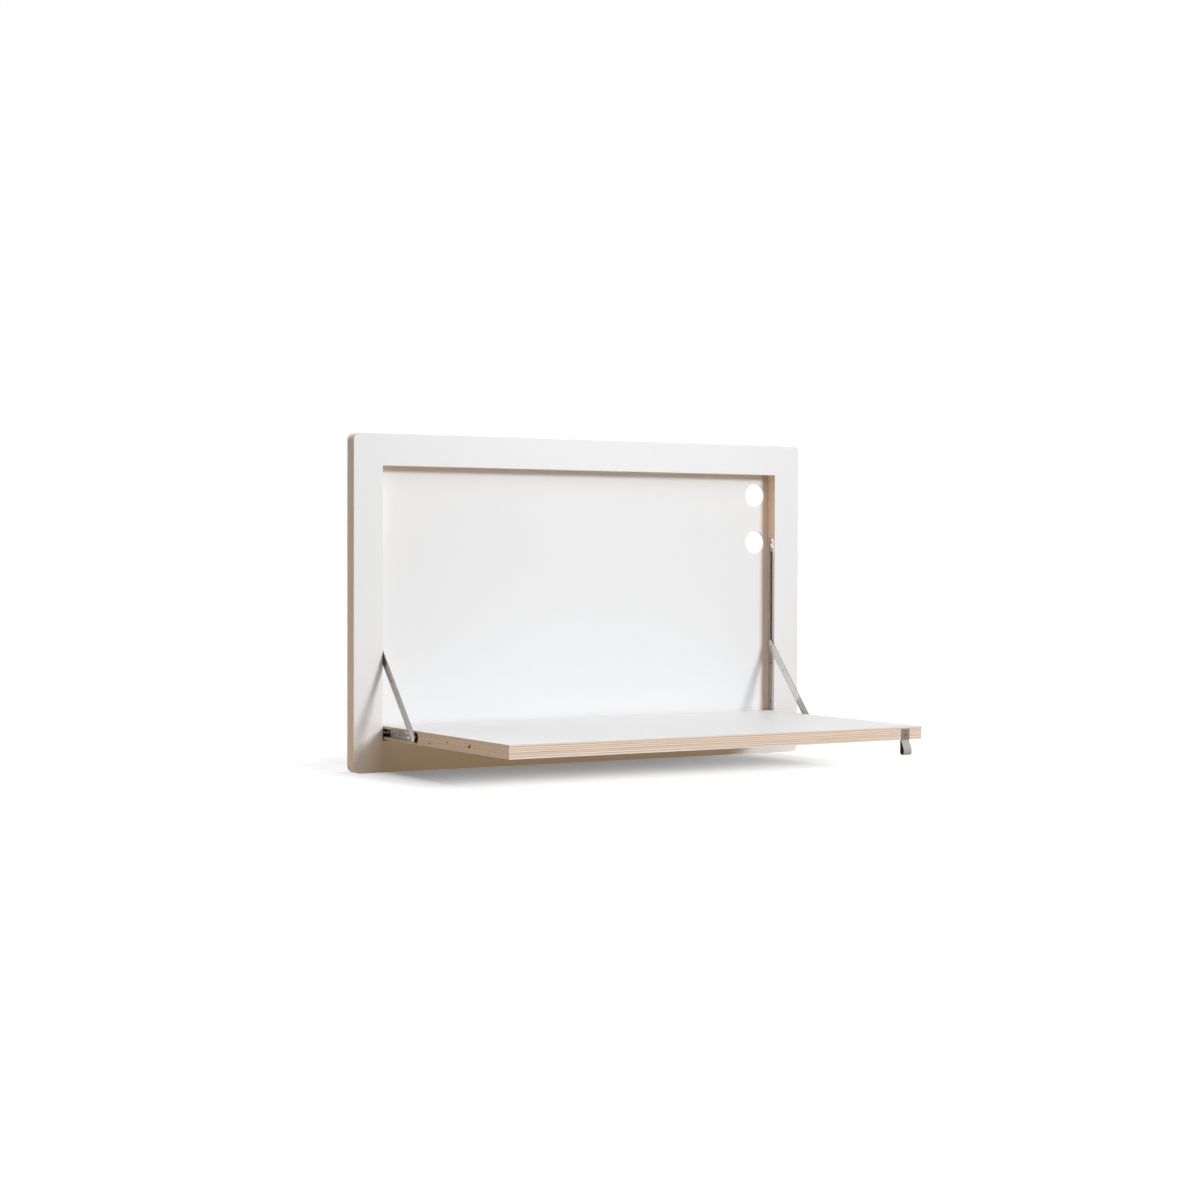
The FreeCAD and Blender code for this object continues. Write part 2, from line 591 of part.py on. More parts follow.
def rounded_route(points, radii):
    """The edges of an open side view route, with a tangent arc at each inner point."""
    edges = []
    start = points[0]
    for before, corner, after, radius in zip(points, points[1:], points[2:], radii):
        back = before.sub(corner).normalize()
        ahead = after.sub(corner).normalize()
        half = back.getAngle(ahead) / 2
        reach = radius / math.tan(half)
        centre_way = back.add(ahead).normalize()
        nearest = corner.add(centre_way * (radius / math.sin(half) - radius))
        arc_start = corner.add(back * reach)
        arc_end = corner.add(ahead * reach)
        edges.append(Part.makeLine(start, arc_start))
        edges.append(Part.Arc(arc_start, nearest, arc_end).toShape())
        start = arc_end
    edges.append(Part.makeLine(start, points[-1]))
    return edges


def beside(points, distance):
    """A route moved sideways in the side view, to its left where the distance is positive."""
    ways = [b.sub(a).normalize() for a, b in zip(points, points[1:])]
    lefts = [FreeCAD.Vector(0, -way.z, way.y) for way in ways]
    lefts = [lefts[0]] + lefts + [lefts[-1]]
    moved = []
    for place, one, two in zip(points, lefts, lefts[1:]):
        moved.append(place.add((one.add(two)) * (distance / (1 + one.dot(two)))))
    return moved


def pull_strap():
    """The leather strap: two layers under a screw, and a loop that hangs below the leaf."""
    back_y = STRAP_FLOOR_Y - STRAP_T / 2
    front_y = back_y - STRAP_T - STRAP_LAYER_GAP
    bulge_y = LEAF_TIP_Y - STRAP_BULGE + STRAP_T / 2
    bottom_z = LEAF_UNDER_Z - STRAP_HANG + STRAP_T / 2
    shoulder_z = LEAF_UNDER_Z - STRAP_SHOULDER_SLIP
    belly_z = bottom_z + STRAP_BELLY_RISE
    bottom_r = (back_y - bulge_y - STRAP_BOTTOM_FLAT) / 2
    route = [(front_y, STRAP_TOP_Z), (front_y, shoulder_z), (bulge_y, belly_z),
             (bulge_y, bottom_z), (back_y, bottom_z), (back_y, STRAP_TOP_Z)]
    middle = [point(0, yz) for yz in route]
    half_t = STRAP_T / 2
    outer_radii = [STRAP_SHOULDER_R - half_t, STRAP_BELLY_R + half_t,
                   bottom_r + half_t, bottom_r + half_t]
    inner_radii = [STRAP_SHOULDER_R + half_t, STRAP_BELLY_R - half_t,
                   bottom_r - half_t, bottom_r - half_t]
    outside = rounded_route(beside(middle, -half_t), outer_radii)
    inside = rounded_route(beside(middle, half_t), inner_radii)
    ends = [Part.makeLine(outside[0].Vertexes[0].Point, inside[0].Vertexes[0].Point),
            Part.makeLine(outside[-1].Vertexes[-1].Point, inside[-1].Vertexes[-1].Point)]
    loop = Part.__sortEdges__(outside + inside + ends)
    ribbon = extruded(loop, STRAP_X - STRAP_W / 2, STRAP_X + STRAP_W / 2)
    return ribbon.cut(rod(strap_screw_head(), strap_screw_seat(), SCREW_R + SCREW_CLEAR))


def strap_screw_head():
    """Where the strap screw's head bears on the strap."""
    face_y = LEAF_TIP_Y + STRAP_RECESS_GAP
    return FreeCAD.Vector(STRAP_X, face_y, STRAP_SCREW_Z)


def strap_screw_seat():
    """Where the strap screw enters the wood."""
    return FreeCAD.Vector(STRAP_X, STRAP_FLOOR_Y, STRAP_SCREW_Z)


def strap_screw_end():
    """The tip of the strap screw's hole."""
    return strap_screw_head().add(FreeCAD.Vector(0, SCREW_LENGTH + SCREW_CLEAR, 0))


def strap_screw():
    """A low round-headed screw through both layers of the strap."""
    under = FreeCAD.Vector(0, 0, -STRAP_SCREW_HEAD_T)
    head = Part.makeCylinder(STRAP_SCREW_HEAD_R, STRAP_SCREW_HEAD_T, under)
    rim = [e for e in head.Edges if abs(e.BoundBox.ZMax + STRAP_SCREW_HEAD_T) < SCREW_CLEAR]
    head = head.makeFillet(STRAP_SCREW_HEAD_T * 2 / 3, rim)
    shank = Part.makeCylinder(SCREW_R, SCREW_LENGTH - SCREW_TIP)
    tip_start = FreeCAD.Vector(0, 0, SCREW_LENGTH - SCREW_TIP)
    tip = Part.makeCone(SCREW_R, SCREW_R / 4, SCREW_TIP, tip_start)
    recess = cross_recess()
    recess.translate(under)
    body = head.fuse([shank, tip]).cut(recess)
    return along(body, strap_screw_head(), FROM_FRONT)


# ---- Writing the pieces

def save(name, shapes):
    """One STEP file for a node, which holds one solid or a group of separate ones."""
    shape = shapes[0] if len(shapes) == 1 else Part.makeCompound(shapes)
    shape.exportStep("parts/" + name + ".step")
    print(name, len(shape.Solids), "solids", round(shape.Volume, 2), "mm3")


def save_pair(name, shape):
    """A left and a right node."""
    left, right = both_sides(shape)
    save("left_" + name, [left])
    save("right_" + name, [right])


def screws_in_pairs(places, direction):
    """The screws at the right-hand places given, and their mirror images."""
    screws = []
    for place in places:
        screws += both_sides(screw(place, direction, SCREW_LENGTH))
    return screws


os.makedirs("parts", exist_ok=True)

save("frame_core", [frame_core()])
save("frame_front_laminate", [frame_front_laminate()])
save("frame_back_laminate", [frame_back_laminate()])
save("back_panel_board", [panel_layer(-PANEL_BOARD_T, 0)])
save("back_panel_laminate", [panel_layer(PANEL_FRONT_Y, -PANEL_BOARD_T)])
panel_screws = [screw(p, FROM_REAR, PANEL_SCREW_LENGTH) for p in panel_screw_places()]
save("back_panel_screws", panel_screws)
save_pair("hanger_plate", hanger_plate())
save("hanger_screws", screws_in_pairs(hanger_screw_places(), FROM_REAR))

save_pair("stay_rail", stay_rail())
save("rail_screws", screws_in_pairs(rail_screw_places(), INTO_STILE))
save_pair("hinge_pin", hinge_pin())
save("hinge_bushes", both_sides(hinge_bush()))
save_pair("slider", slider())

save("leaf_core", [leaf_core()])
save("leaf_top_laminate", [leaf_layer(LEAF_TOP_Z - LAMINATE_T, LEAF_TOP_Z)])
save("leaf_under_laminate", [leaf_layer(LEAF_UNDER_Z, LEAF_UNDER_Z + LAMINATE_T)])
save_pair("leaf_plate", leaf_plate())
save("leaf_plate_screws", screws_in_pairs(plate_screw_places(), INTO_LEAF))
save("catch_magnets", both_sides(catch_magnet()))
save_pair("stay_arm", stay_arm())
save_pair("head_rivet", head_rivet())
save_pair("foot_rivet", foot_rivet())
save("foot_washers", both_sides(foot_washer()))
save("pull_strap", [pull_strap()])
save("strap_screw", [strap_screw()])

print("hinge axis at y, z", HINGE, "arm length", round(ARM_LENGTH, 3))
print("slider travel", round(SLIDER_TRAVEL, 3), "mm over the leaf's 90 degrees")
arm_turn = 180 - math.degrees(math.atan2(STAY_ON_STILE, STAY_ON_LEAF))
print("arm turns on the leaf by", round(arm_turn, 4), "degrees")
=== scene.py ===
# %% [markdown]
# # A wall mounted drop leaf table
#
# The table is a shallow plywood frame with a leaf that folds down out of it to make a small desk.
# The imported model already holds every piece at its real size. This notebook gives each of them
# its finish, and models the metal and the leather again with the small edges that catch light.
# The model comes in first, and its box is kept, because the finished pieces have to stay inside it.

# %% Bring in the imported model
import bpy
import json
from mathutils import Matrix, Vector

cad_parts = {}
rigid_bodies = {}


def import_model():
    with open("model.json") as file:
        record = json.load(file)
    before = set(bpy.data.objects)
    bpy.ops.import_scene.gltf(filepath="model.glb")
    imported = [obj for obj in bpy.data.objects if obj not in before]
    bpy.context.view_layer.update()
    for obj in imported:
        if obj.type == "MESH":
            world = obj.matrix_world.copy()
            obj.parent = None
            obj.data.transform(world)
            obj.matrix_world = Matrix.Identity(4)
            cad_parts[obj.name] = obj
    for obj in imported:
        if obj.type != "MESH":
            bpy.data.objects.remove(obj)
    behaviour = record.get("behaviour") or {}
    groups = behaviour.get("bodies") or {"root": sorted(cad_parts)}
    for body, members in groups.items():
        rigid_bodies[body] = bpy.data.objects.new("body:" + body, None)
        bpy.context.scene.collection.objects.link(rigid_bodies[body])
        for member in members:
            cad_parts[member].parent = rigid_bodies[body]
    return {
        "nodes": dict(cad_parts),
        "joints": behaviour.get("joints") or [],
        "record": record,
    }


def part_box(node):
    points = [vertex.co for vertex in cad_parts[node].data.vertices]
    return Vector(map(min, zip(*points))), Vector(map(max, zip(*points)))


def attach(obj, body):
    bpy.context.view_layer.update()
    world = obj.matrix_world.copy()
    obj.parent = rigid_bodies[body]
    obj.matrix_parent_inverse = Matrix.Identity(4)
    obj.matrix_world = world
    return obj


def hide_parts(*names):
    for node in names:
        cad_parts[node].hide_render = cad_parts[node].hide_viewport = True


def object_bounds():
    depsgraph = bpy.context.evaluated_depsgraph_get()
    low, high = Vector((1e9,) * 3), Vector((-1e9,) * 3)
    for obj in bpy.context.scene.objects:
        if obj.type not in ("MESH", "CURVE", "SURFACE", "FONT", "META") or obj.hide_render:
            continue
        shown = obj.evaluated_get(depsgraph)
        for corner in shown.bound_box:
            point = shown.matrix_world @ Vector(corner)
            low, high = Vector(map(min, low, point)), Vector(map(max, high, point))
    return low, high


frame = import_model()

cad_low, cad_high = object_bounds()

# %% The other tools of this notebook
import json
import math

import bmesh
import bpy
from mathutils import Matrix, Vector

MM = 0.001
print("Blender", bpy.app.version_string)

# %% [markdown]
# ## Places
#
# Nothing is measured twice. The hinge line comes from the leaf's joint, the arms' feet from their
# own joints, and the rest from the boxes of the pieces. A few screws share one piece, so its mesh
# is merged and split into islands, and each island gives the box of one screw.

# %% The hinge line and the stays' pivots
joints = {joint["name"]: joint for joint in frame["joints"]}
hinge = Vector(joints["leaf_hinge"]["pos_m"])
arm_foot = Vector(joints["right_arm_pivot"]["pos_m"])
slider_travel = joints["right_slider_run"]["range_m"][1]
slider_low, slider_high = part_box("right_slider")
arm_head = Vector((arm_foot.x, hinge.y, (slider_low.z + slider_high.z) / 2))
print("the arm is", round((arm_head - arm_foot).length / MM, 1), "mm between its rivets")


# %% One box for each solid of a shared piece
def solids(node):
    """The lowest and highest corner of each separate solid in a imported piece."""
    mesh = bmesh.new()
    mesh.from_mesh(frame["nodes"][node].data)
    bmesh.ops.remove_doubles(mesh, verts=mesh.verts, dist=0.001 * MM)
    boxes = []
    left = set(mesh.verts)
    while left:
        island = [left.pop()]
        for vert in island:
            joined = {edge.other_vert(vert) for edge in vert.link_edges} & left
            left -= joined
            island.extend(joined)
        places = [vert.co.copy() for vert in island]
        boxes.append((Vector(map(min, *places)), Vector(map(max, *places))))
    mesh.free()
    return sorted(boxes, key=lambda box: tuple(box[0]))


print(len(solids("rail_screws")), "rail screws")

# %% [markdown]
# ## Camera
#
# The table is seen from the left, a little above the leaf, from a good three metres away with a
# long lens, so its lines hardly converge. Position and angles are plain numbers, and the lens is
# given as the focal length in image widths. The camera rolls by a fraction of a degree.

# %% Put the camera up
CAMERA_PLACE = Vector((-1.7981, -3.0479, 0.0716))
CAMERA_YAW = math.radians(-31.012)
CAMERA_PITCH = math.radians(-1.131)
CAMERA_ROLL = math.radians(0.16)
FOCAL_PIXELS = 2264.3
IMAGE_PIXELS = 1200
SENSOR_MM = 36.0

camera = bpy.data.objects.new("camera", bpy.data.cameras.new("camera"))
bpy.context.scene.collection.objects.link(camera)
camera.data.sensor_width = SENSOR_MM
camera.data.lens = SENSOR_MM * FOCAL_PIXELS / IMAGE_PIXELS
level_right = Vector((math.cos(CAMERA_YAW), math.sin(CAMERA_YAW), 0))
forward = Vector((-math.sin(CAMERA_YAW) * math.cos(CAMERA_PITCH),
                  math.cos(CAMERA_YAW) * math.cos(CAMERA_PITCH), math.sin(CAMERA_PITCH)))
level_up = level_right.cross(forward)
right = level_right * math.cos(CAMERA_ROLL) + level_up * math.sin(CAMERA_ROLL)
up = level_up * math.cos(CAMERA_ROLL) - level_right * math.sin(CAMERA_ROLL)
camera.matrix_world = Matrix.Translation(CAMERA_PLACE) @ Matrix((right, up, -forward)).transposed().to_4x4()
bpy.context.scene.camera = camera
print("lens", round(camera.data.lens, 2), "mm")

# %% [markdown]
# ## Wiring materials in Python
#
# A material is a small program of nodes. Written out node by node it is long and hard to read, so
# a socket is wrapped in a class on which plus, minus and times add Math nodes by themselves. One
# method adds every other kind of node: its settings first, then what goes into its sockets.


# %% A socket that can be calculated with
def math_node(operation, swapped=False):
    """A method of Wire: one Math node, fed by the wire itself and by what it is combined with."""
    def method(*values):
        inputs = dict(enumerate(reversed(values) if swapped else values))
        return values[0].finish.node("ShaderNodeMath", {"operation": operation}, inputs)
    return method


class Wire:
    """One output of a node. Arithmetic on it adds Math nodes to the same material."""

    def __init__(self, finish, socket):
        self.finish = finish
        self.socket = socket

    __add__ = math_node("ADD")
    __radd__ = math_node("ADD", swapped=True)
    __sub__ = math_node("SUBTRACT")
    __rsub__ = math_node("SUBTRACT", swapped=True)
    __mul__ = math_node("MULTIPLY")
    __rmul__ = math_node("MULTIPLY", swapped=True)
    __truediv__ = math_node("DIVIDE")
    __mod__ = math_node("MODULO")
    __gt__ = math_node("GREATER_THAN")
    __lt__ = math_node("LESS_THAN")
    __abs__ = math_node("ABSOLUTE")
    floor = math_node("FLOOR")
    either = math_node("MAXIMUM")
    least = math_node("MINIMUM")

    def clamped(self):
        """The same value, kept between 0 and 1."""
        return self.finish.node("ShaderNodeClamp", sockets={"Value": self})


print("wires can be added, multiplied and compared")


# %% A tree of nodes that is filled by one method
class Finish:
    """The node tree of a material or of the world, while it is being wired."""

    def __init__(self, owner):
        self.owner = owner
        owner.use_nodes = True
        self.tree = owner.node_tree
        self.tree.nodes.clear()

    def feed(self, socket, value):
        """Puts a wire or a plain value into a socket."""
        if isinstance(value, Wire):
            self.tree.links.new(value.socket, socket)
        else:
            socket.default_value = value

    def node(self, kind, settings=None, sockets=None, output=0):
        """Adds a node: settings first, then the values or wires of its sockets."""
        made = self.tree.nodes.new(kind)
        for key, value in (settings or {}).items():
            setattr(made, key, value)
        for key, value in (sockets or {}).items():
            self.feed(made.inputs[key], value)
        return Wire(self, made.outputs[output]) if made.outputs else None

    def mix(self, factor, first, second):
        """A colour between two others."""
        return self.node("ShaderNodeMix", {"data_type": "RGBA"}, {0: factor, 6: first, 7: second}, 2)

    def tint(self, colour, factor):
        """A colour made lighter or darker by a number."""
        return self.node("ShaderNodeVectorMath", {"operation": "SCALE"}, {0: colour, "Scale": factor})

    def point(self):
        """The point on the piece, in metres."""
        return self.node("ShaderNodeTexCoord", output=3)

    def axes(self, point):
        """The x, y and z of a point."""
        return [self.node("ShaderNodeSeparateXYZ", sockets={0: point}, output=axis) for axis in range(3)]

    def stretched(self, vector, factors):
        """A vector whose x, y and z are multiplied each by its own number."""
        return self.node("ShaderNodeVectorMath", {"operation": "MULTIPLY"}, {0: vector, 1: factors})

    def distance(self, point, other):
        """How far one point is from another."""
        return self.node("ShaderNodeVectorMath", {"operation": "DISTANCE"}, {0: point, 1: other}, 1)

    def noise(self, point, per_metre, detail=2.0, roughness=0.5):
        """Soft random values from 0 to 1, with so many lumps per metre, or so many on each axis."""
        if isinstance(per_metre, (int, float)):
            per_metre = (per_metre,) * 3
        sockets = {"Vector": self.stretched(point, per_metre), "Scale": 1.0,
                   "Detail": detail, "Roughness": roughness}
        return self.node("ShaderNodeTexNoise", sockets=sockets)

    def bump(self, height, depth):
        """A normal tilted by a height from 0 to 1, which stands for this depth in metres."""
        return self.node("ShaderNodeBump", sockets={"Distance": depth, "Height": height})

    def surface(self, **values):
        """The shader and the output. A name with underscores is the socket's name with spaces."""
        sockets = {key.replace("_", " "): value for key, value in values.items()}
        shader = self.node("ShaderNodeBsdfPrincipled", sockets=sockets)
        self.node("ShaderNodeOutputMaterial", sockets={"Surface": shader})
        return self.owner


def new_finish(name):
    """An empty material to be wired."""
    return Finish(bpy.data.materials.new(name))


print("finishes can be wired")

# %% [markdown]
# ## Light
#
# A key light stands in front of the table, to the right and a little above it, and throws the
# shadows of the frame and of the arms to the left. Two broad lamps near the table soften it, and,
# being near, light the upper rail a little more than the lower one, as studio lamps do. Two overhead
# light the leaf, and one behind keeps the back from going dark. A lamp's strength is written as
# what falls on a white surface that faces it, for red, green and blue. Together they come to about
# one, so a colour shows about as it is written.

# %% What the lamps light
lit_pieces = bpy.data.collections.new("lit_pieces")
lit_floor = bpy.data.collections.new("lit_floor")
for group in (lit_pieces, lit_floor):
    bpy.context.scene.collection.children.link(group)
print("one group for the table and one for the floor")


# %% Two kinds of lamp
def lamp(name, kind, towards, light, place, group):
    """A lamp that lights one group of objects and whose colour is that of its light."""
    data = bpy.data.lights.new(name, kind)
    made = bpy.data.objects.new(name, data)
    data.energy = max(light)
    data.color = Vector(light) / max(light)
    made.location = place
    made.rotation_euler = towards.to_track_quat("Z", "Y").to_euler()
    made.light_linking.receiver_collection = group
    bpy.context.scene.collection.objects.link(made)
    return made


def sun_lamp(name, towards, light, disc_degrees, group=lit_pieces):
    """A far lamp. A sun of strength pi lights a white surface fully."""
    made = lamp(name, "SUN", Vector(towards), light, Vector(towards), group)
    made.data.energy *= math.pi
    made.data.angle = math.radians(disc_degrees)
    return made


LIT_MIDDLE = Vector((0, -0.05, -0.02))


def near_lamp(name, place, light, width):
    """A round soft box near the table. Its power grows with the square of its distance."""
    reach = Vector(place) - LIT_MIDDLE
    made = lamp(name, "AREA", reach, light, Vector(place), lit_pieces)
    made.data.shape = "DISK"
    made.data.size = width
    made.data.energy *= (math.pi * reach.length) ** 2
    made.visible_camera = False
    made.visible_glossy = False
    return made


print("suns and soft boxes")

# %% The lamps
sun_lamp("key", (0.54, -1.0, 0.44), (0.55, 0.573, 0.598), 14)
near_lamp("front_box", (0.1, -0.75, 0.95), (0.332, 0.332, 0.332), 0.9)
near_lamp("right_box", (1.3, -1.4, 0.6), (0.056, 0.058, 0.06), 1.2)
sun_lamp("overhead", (0.15, -0.25, 1.0), (0.108, 0.095, 0.085), 70)
sun_lamp("overhead_behind", (0, 0.6, 0.8), (0.248, 0.248, 0.248), 70)
sun_lamp("behind", (-0.3, 1.0, 0.35), (0.45, 0.45, 0.45), 60)


# %% The world behind everything
def shown_directly(finish):
    """1 for what the camera sees, also in a mirror or through glass, and 0 for light on a surface."""
    ways = [finish.node("ShaderNodeLightPath", output=name)
            for name in ("Is Camera Ray", "Is Glossy Ray", "Is Transmission Ray")]
    return ways[0].either(ways[1]).either(ways[2])


def grey(level):
    """A grey between 0, black, and 1, white."""
    return (level, level, level, 1)


NEARLY_DARK = grey(0.02)
world = bpy.data.worlds.new("studio")
bpy.context.scene.world = world
air = Finish(world)
sky = air.mix(shown_directly(air), NEARLY_DARK, grey(1))
glow = air.node("ShaderNodeBackground", sockets={"Color": sky, "Strength": 1.0})
air.node("ShaderNodeOutputWorld", sockets={"Surface": glow})
bpy.context.scene.view_settings.view_transform = "Standard"
print("white to the camera, dark to the surfaces")

# %% [markdown]
# ## Floor
#
# The lower edge of the frame just touches a pale floor. It is a wide disc, ringed by extruding
# its rim, so that its edge is far away. It has low lamps of its own, which only the boards of the
# leaf keep from it, so that to the camera it is as white as the world except in the soft shadow
# under the leaf. A wall would catch that shadow behind the frame, so there, to the left of the
# frame and far out, the floor glows instead of taking the light of the lamps, and the shadow
# fades. The paint is dark and these lamps are strong, because then the warm light that the table
# throws back hardly tints the shadow. To the table's surfaces the floor gives the warm light of
# wood, browner right under the leaf and paler further out.

# %% The floor's own lamps
FLOOR_PAINT = 0.12
FLOOR_LAMPS = {"floor_front": (0, 12, 10, 0.266), "floor_key": (20, 12, 20, 0.478),
               "floor_side": (60, 9, 20, 0.097)}
LAMP_LIGHT = sum(share for azimuth, elevation, disc, share in FLOOR_LAMPS.values())
leaf_boards = bpy.data.collections.new("leaf_boards")
bpy.context.scene.collection.children.link(leaf_boards)
for node in ("leaf_core", "leaf_top_laminate", "leaf_under_laminate"):
    leaf_boards.objects.link(frame["nodes"][node])
for name, (azimuth, elevation, disc, share) in FLOOR_LAMPS.items():
    turn, rise = math.radians(azimuth), math.radians(elevation)
    towards = Vector((math.sin(turn) * math.cos(rise), -math.cos(turn) * math.cos(rise), math.sin(rise)))
    strength = share / math.sin(rise) / FLOOR_PAINT
    low_lamp = sun_lamp(name, towards, (strength,) * 3, disc, lit_floor)
    low_lamp.light_linking.blocker_collection = leaf_boards
print("the floor's lamps give", round(LAMP_LIGHT, 3), "of white")

# %% Where the floor glows instead
UNDER_LEAF = (0, -0.2, 0)
SHADOW_REACH = 0.52
SHADOW_FADE = 0.25
WALL_GLOW = 0.785
WALL_BLEND = 0.05
LEFT_GLOW = 0.7
LEFT_EDGE = 0.34
LEFT_BLEND = 0.08
paint = new_finish("floor_white")
floor_point = paint.point()
floor_x, floor_y, _ = paint.axes(floor_point)
away = paint.distance(floor_point, UNDER_LEAF)
far = ((away - SHADOW_REACH) / SHADOW_FADE).clamped()
behind_wall = (floor_y / WALL_BLEND + 0.5).clamped() * WALL_GLOW
at_the_left = ((floor_x * -1 - LEFT_EDGE) / LEFT_BLEND).clamped() * LEFT_GLOW
glowing = far.either(behind_wall).either(at_the_left)
print("shadow fades out from", SHADOW_REACH, "to", SHADOW_REACH + SHADOW_FADE, "m")

# %% The floor's finish
FLOOR_GLOW = 0.17
BOUNCE_UNDER = (0.305, 0.19, 0.092, 1)
BOUNCE_ROUND = (0.56, 0.445, 0.33, 1)
UNDER_REACH = 0.45
ROUND_REACH = 1.2
REACH_BLEND = 0.1
dark_paint = paint.mix(glowing, grey(FLOOR_PAINT), NEARLY_DARK)
shade = paint.node("ShaderNodeBsdfDiffuse", sockets={"Color": dark_paint})
light_up = paint.mix(glowing, grey(FLOOR_GLOW), grey(FLOOR_GLOW + LAMP_LIGHT))
lift = paint.node("ShaderNodeEmission", sockets={"Color": light_up})
further = ((away - UNDER_REACH) / REACH_BLEND + 0.5).clamped()
near_enough = ((ROUND_REACH - away) / REACH_BLEND + 0.5).clamped()
warm_light = paint.mix(near_enough, grey(0), paint.mix(further, BOUNCE_UNDER, BOUNCE_ROUND))
bounce = paint.node("ShaderNodeEmission", sockets={"Color": warm_light})
shown = paint.node("ShaderNodeAddShader", sockets={0: shade, 1: lift})
floor_shader = paint.node("ShaderNodeMixShader", sockets={0: shown_directly(paint), 1: bounce, 2: shown})
paint.node("ShaderNodeOutputMaterial", sockets={"Surface": floor_shader})
print("floor finish wired")

# %% The floor itself
FLOOR_RINGS = (2.0, 6.0, 40.0)
FLOOR_GAP = 0.5 * MM
bpy.ops.object.select_all(action="DESELECT")
bpy.ops.mesh.primitive_circle_add(vertices=64, radius=FLOOR_RINGS[0], fill_type="NGON",
                                  location=(0, 0, cad_low.z - FLOOR_GAP))
floor = bpy.context.object
floor.name = "floor"
bpy.ops.object.mode_set(mode="EDIT")
for inner, outer in zip(FLOOR_RINGS, FLOOR_RINGS[1:]):
    bpy.ops.mesh.select_mode(type="EDGE")
    bpy.ops.mesh.select_all(action="SELECT")
    bpy.ops.mesh.region_to_loop()
    bpy.ops.mesh.extrude_edges_move()
    bpy.ops.transform.resize(value=(outer / inner, outer / inner, 1), center_override=(0, 0, 0))
bpy.ops.object.mode_set(mode="OBJECT")
floor.data.materials.append(paint.owner)
print("floor at", round(floor.location.z / MM, 1), "mm")

# %% [markdown]
# ## White laminate
#
# The boards are faced with a matt white laminate. Up close such a sheet is never quite plain: it
# was pressed against a finely pitted plate, and hands have polished it here and there. So a broad
# soft noise varies tone and gloss by a hundredth or two, and a fine one gives the pitted texture.
# In the corner between the back panel and the frame, at the right and faintly under the top, the
# shade that the frame casts on the panel is painted in, warm brown. The cut edge round the opening is
# browner. Both are masks made from the distance to the opening. Frame, leaf and panel are three shades of
# white.

# %% The opening of the frame
rail_low, rail_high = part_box("right_stay_rail")
core_low, core_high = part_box("frame_core")
opening_x = rail_low.x
opening_z = core_high.z - (core_high.x - opening_x)
print("opening", round(2 * opening_x / MM), "by", round(2 * opening_z / MM), "mm")

# %% Whites, painted corner shade and texture of the laminate
FRAME_WHITE = (0.858, 0.859, 0.862, 1)
LEAF_WHITE = (0.870, 0.871, 0.871, 1)
PANEL_WHITE = grey(0.838)
CORNER_PAINTED_SHADE = (0.68, 0.56, 0.46, 1)
PAINTED_SHADE_REACH = 17 * MM
PAINTED_SHADE_BLEND = 7 * MM
FAINT_SHADE_REACH = 12 * MM
FAINT_PAINTED_SHADE = 0.35
BROWNER_CUT_EDGE = (0.62, 0.50, 0.41, 1)
EDGE_SKIN = 0.2 * MM
CLOUDS = 6
PITS = 1500
SPECKS = 420
SPECK_LIMIT = 0.74
# The reach printed is that of the painted corner shade.
print(PITS, "pits per metre, dust over", round(PAINTED_SHADE_REACH / MM), "mm")


# %% White laminate
def white_laminate(name, white, mark_of=None, mark_colour=None):
    """Matt white laminate with a fine pitted texture. mark_of makes 1 where mark_colour is mixed in."""
    paint = new_finish(name)
    point = paint.point()
    cloud = paint.noise(point, CLOUDS, detail=4, roughness=0.6)
    pits = paint.noise(point, PITS, detail=1)
    specks = (paint.noise(point, SPECKS, detail=0) - SPECK_LIMIT).clamped()
    colour = white[:3]
    if mark_of:
        x, _, z = paint.axes(point)
        mark = mark_of(x, z) * (0.75 + cloud * 0.5)
        colour = paint.mix(mark.clamped(), white, mark_colour)
    return paint.surface(Base_Color=paint.tint(colour, 0.985 + cloud * 0.03 - specks * 0.35),
                         Roughness=0.36 + cloud * 0.14 + pits * 0.06,
                         Normal=paint.bump(pits, 0.012 * MM))


def painted_corner_shade(x, z):
    """1 in the corner at the right and a little under the top of the frame, where the frame's shade on the
    panel is painted in.
    """
    right = ((x - opening_x + PAINTED_SHADE_REACH) / PAINTED_SHADE_BLEND).clamped()
    under_top = (1 - (opening_z - z) / FAINT_SHADE_REACH).clamped()
    return right.either(under_top * FAINT_PAINTED_SHADE)


def on_opening(x, z):
    """The laminate's cut edge round the opening."""
    return (abs(x) < opening_x + EDGE_SKIN) * (abs(z) < opening_z + EDGE_SKIN)


# The cut edge round the opening is browner.
laminate = white_laminate("white_laminate", FRAME_WHITE, on_opening, BROWNER_CUT_EDGE)
# The back panel gets the frame's shade painted into its corner.
panel_laminate = white_laminate("panel_laminate", PANEL_WHITE, painted_corner_shade, CORNER_PAINTED_SHADE)
leaf_laminate = white_laminate("leaf_laminate", LEAF_WHITE)
print(laminate.name, panel_laminate.name, leaf_laminate.name)

# %% [markdown]
# ## Birch plywood
#
# What shows of the plywood is its edge: thin plies whose grain runs by turns along the board and
# across it. A ply that runs along the edge shows pale long streaks, and one that ends there shows
# darker end grain, so the edge is striped, and the stripes change places round a corner. The
# pattern is made as solid wood, from the point's place in the board: a noise that is stretched
# along one axis gives streaks on one side of the board and pores on the other, as in real wood.
# The left and right edges are evener, and a shade yellower. A glue line parts the plies here and
# there, a few small knots lie in the leaf's edges, and the pockets are scorched a little by the router
# and painted darker for the shade in them.

